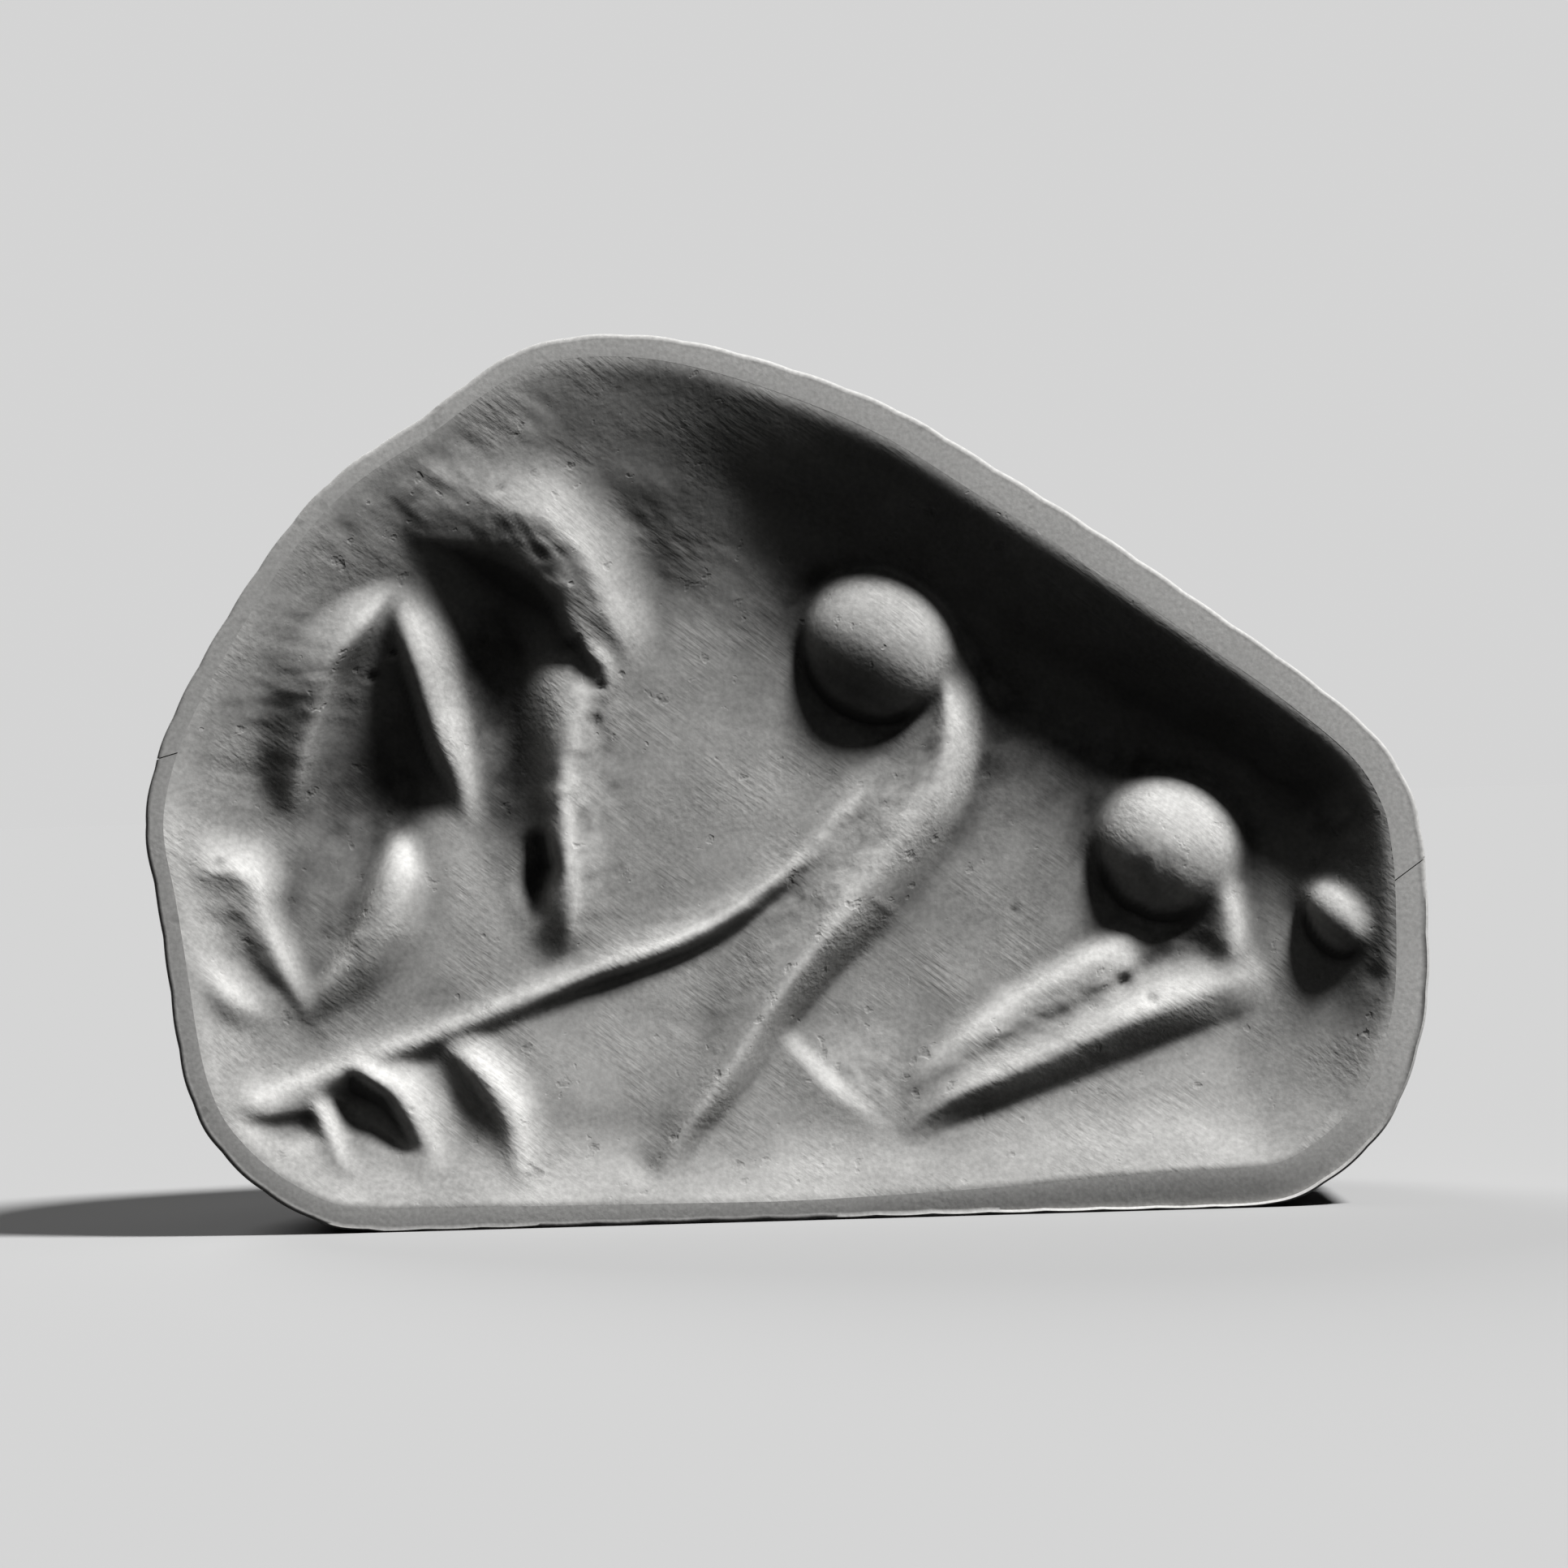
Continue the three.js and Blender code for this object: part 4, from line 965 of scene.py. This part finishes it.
# %% [markdown]
# Four materials share these groups. A real dull stone has almost no shine, because its grain shades its own
# highlights, so the specular level is low. The face is rougher than the rim, which was rubbed smooth, and its
# colour carries stronger painted shade in the hollows and a painted highlight on the crests. The cement is a
# dark, gritty paste.

# %% The four finishes
PIT_SHADE = 0.25  # how much darker a pit is
# roughness added where the hollows are painted dark
HOLLOW_ROUGHNESS = 0.1


def stone_material(name, colour, clouds, grit, streaks, painted_shading, bump_mm, roughness, shine):
    """Clouds, painted shade and painted highlight give the colour, grit and streaks (a width and a share) the
    bump.
    """
    material = bpy.data.materials.new(name)
    material.use_nodes = True
    tree = material.node_tree
    shader = tree.nodes["Principled BSDF"]
    shader.inputs["Specular IOR Level"].default_value = shine

    def group(kind, **sockets):
        values = {label.replace("_", " "): value for label, value in sockets.items()}
        return node(tree, "ShaderNodeGroup", values, node_tree=kind).outputs

    clouded = group(clouds_group, Colour=(*colour, 1.0), **clouds)["Colour"]
    # painted shade and painted highlight darken and lighten the colour
    with_painted_light = group(painted_shade_group, Colour=clouded, **painted_shading)
    surface = group(grit_group, **grit)
    dragged = group(streak_group, Width=streaks[0])["Height"]
    height = maths(tree, "ADD", surface["Height"], times(tree, dragged, streaks[1]))
    bump = node(tree, "ShaderNodeBump", {"Height": height, "Distance": bump_mm * MM, "Strength": 1.0})
    in_pits = maths(tree, "SUBTRACT", 1.0, times(tree, surface["Pits"], PIT_SHADE))
    tree.links.new(tinted(tree, with_painted_light["Colour"], in_pits), shader.inputs["Base Color"])
    rougher = maths(tree, "ADD", roughness, times(tree, with_painted_light["Painted Shade"], HOLLOW_ROUGHNESS))
    tree.links.new(rougher, shader.inputs["Roughness"])
    tree.links.new(bump.outputs[0], shader.inputs["Normal"])
    print("material:", name)
    return material


# the face gets strong painted shade in its hollows and on its sides turned from the lamp, and a painted
# highlight on its crests
carved_stone = stone_material(
    "carved stone", (0.53, 0.525, 0.512),
    clouds={"Cloud_Size": 1.7, "Cloud_Strength": 0.2, "Speck_Size": 0.1, "Speck_Strength": 0.12},
    grit={"Grain_Size": 0.12, "Pit_Size": 0.4, "Pit_Depth": 1.2},
    streaks=(0.09, 1.4), painted_shading={"Painted Shade": 0.78, "Painted Highlight": 0.45, "Painted Side Shade": 0.93},
    bump_mm=0.011, roughness=0.85, shine=0.1,
)
rim_stone = stone_material(
    "rim stone", (0.6, 0.594, 0.58),
    clouds={"Cloud_Size": 4.0, "Cloud_Strength": 0.07, "Speck_Size": 0.08, "Speck_Strength": 0.12},
    grit={"Grain_Size": 0.12, "Pit_Size": 0.7, "Pit_Depth": 0.5},
    streaks=(0.1, 0.3), painted_shading={"Painted Shade": 0.4, "Painted Highlight": 0.15, "Painted Side Shade": 0.15},
    bump_mm=0.007, roughness=0.7, shine=0.15,
)
grip_stone = stone_material(
    "grip stone", (0.48, 0.475, 0.46),
    clouds={"Cloud_Size": 3.5, "Cloud_Strength": 0.12, "Speck_Size": 0.1, "Speck_Strength": 0.12},
    grit={"Grain_Size": 0.16, "Pit_Size": 0.8, "Pit_Depth": 1.0},
    streaks=(0.14, 0.6), painted_shading={"Painted Shade": 0.4, "Painted Highlight": 0.2, "Painted Side Shade": 0.1},
    bump_mm=0.02, roughness=0.72, shine=0.2,
)
cement = stone_material(
    "cement", (0.3, 0.28, 0.25),
    clouds={"Cloud_Size": 1.0, "Cloud_Strength": 0.2, "Speck_Size": 0.08, "Speck_Strength": 0.3},
    grit={"Grain_Size": 0.1, "Pit_Size": 0.3, "Pit_Depth": 1.5},
    streaks=(0.1, 0.2), painted_shading={"Painted Shade": 0.0, "Painted Highlight": 0.0, "Painted Side Shade": 0.0},
    bump_mm=0.05, roughness=0.85, shine=0.05,
)
finishes = {face: carved_stone, upper: rim_stone, lower: rim_stone, grip: grip_stone}
finishes[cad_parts["setting_bed"]] = cement
for piece, finish in finishes.items():
    piece.data.materials.clear()
    piece.data.materials.append(finish)

# %% [markdown]
# The seal stands on a plain pale floor in front of an equally pale world, so that nothing draws the eye
# from it. If both also lit the stone, the hollows would fill with light. So the camera, and reflections,
# see them pale, and to every other ray they are dark. The Light Path node tells the rays apart.

# %% Floor and world
PALE = 0.66  # what the camera sees behind the seal
DARK = 0.012  # what the stone is lit by
FLOOR_HALF = 2.0  # metres
# Bearing on the face from +X to +Z and height before the face, in degrees, then strength and width in degrees
SUNS = {
    "key": (60, 16, 5.0, 11),
    "light from behind": (125, -50, 1.2, 30),
}


def sun_direction(bearing, height):
    """The way to a lamp."""
    a, h = math.radians(bearing), math.radians(height)
    return Vector((math.cos(h) * math.cos(a), -math.sin(h), math.cos(h) * math.sin(a)))


def seen_or_lit(tree, seen, lit):
    """One grey for the camera and for reflections, and another for all other rays."""
    rays = tree.nodes.new("ShaderNodeLightPath").outputs
    mirrored = maths(tree, "MAXIMUM", rays["Is Glossy Ray"], rays["Is Transmission Ray"])
    by_eye = maths(tree, "MAXIMUM", rays["Is Camera Ray"], mirrored)
    sockets = {"Factor": by_eye, "A": (lit, lit, lit, 1), "B": (seen, seen, seen, 1)}
    return node(tree, "ShaderNodeMix", sockets, data_type="RGBA").outputs["Result"]


floor_light = sum(strength * sun_direction(a, h).z for a, h, strength, wide in SUNS.values())
floor_colour = PALE * math.pi / floor_light
bm = bmesh.new()
bmesh.ops.create_grid(bm, x_segments=1, y_segments=1, size=FLOOR_HALF)
floor = new_object("floor", new_mesh("floor", bm))
ground = bpy.data.materials.new("floor")
ground.use_nodes = True
tree = ground.node_tree
tree.nodes.clear()
matt = node(tree, "ShaderNodeBsdfDiffuse", {"Color": seen_or_lit(tree, floor_colour, DARK)})
node(tree, "ShaderNodeOutputMaterial", {"Surface": matt.outputs[0]})
floor.data.materials.append(ground)

world = bpy.data.worlds.new("studio")
bpy.context.scene.world = world
world.use_nodes = True
tree = world.node_tree
tree.nodes.clear()
sky = node(tree, "ShaderNodeBackground", {"Color": seen_or_lit(tree, PALE, DARK)})
node(tree, "ShaderNodeOutputWorld", {"Surface": sky.outputs[0]})
print(f"floor colour {floor_colour:.2f} where it is seen")

# %% [markdown]
# A carved face can only be read in light that grazes it. A soft lamp stands low at the upper right, so
# that every form has a bright side and a dark one, and a second one behind the seal lights the floor and
# the grip's edge. Suns are used because their light is even over the whole small object.

# %% Lamps
for name, (bearing, height, strength, wide) in SUNS.items():
    lamp = bpy.data.lights.new(name, "SUN")
    lamp.energy = strength
    lamp.angle = math.radians(wide)
    lamp_object = new_object(name, lamp)
    lamp_object.rotation_euler = sun_direction(bearing, height).to_track_quat("Z", "Y").to_euler()
    print(f"{name}: strength {strength}")

# %% [markdown]
# The camera looks straight at the face from about a hand's width away, with a long lens that hardly
# distorts it. It is rolled a little, because the seal leans a little in the photograph.

# %% Camera
CAMERA_DISTANCE, CAMERA_HEIGHT = 108.7, 8.08  # from the face and from the floor, mm
CAMERA_ROLL = -1.64  # degrees
LENS, SENSOR = 135, 36  # mm
camera_data = bpy.data.cameras.new("camera")
camera_data.lens = LENS
camera_data.sensor_width = SENSOR
camera_data.clip_start = 1 * MM
camera = new_object("camera", camera_data)
camera.location = Vector((0, front - CAMERA_DISTANCE, CAMERA_HEIGHT)) * MM
upright = Matrix.Rotation(math.radians(90), 4, "X")
camera.rotation_euler = (upright @ Matrix.Rotation(math.radians(CAMERA_ROLL), 4, "Z")).to_euler()
bpy.context.scene.camera = camera
bpy.context.scene.view_settings.view_transform = "Standard"
print("camera at", [round(c / MM, 1) for c in camera.location], "mm")
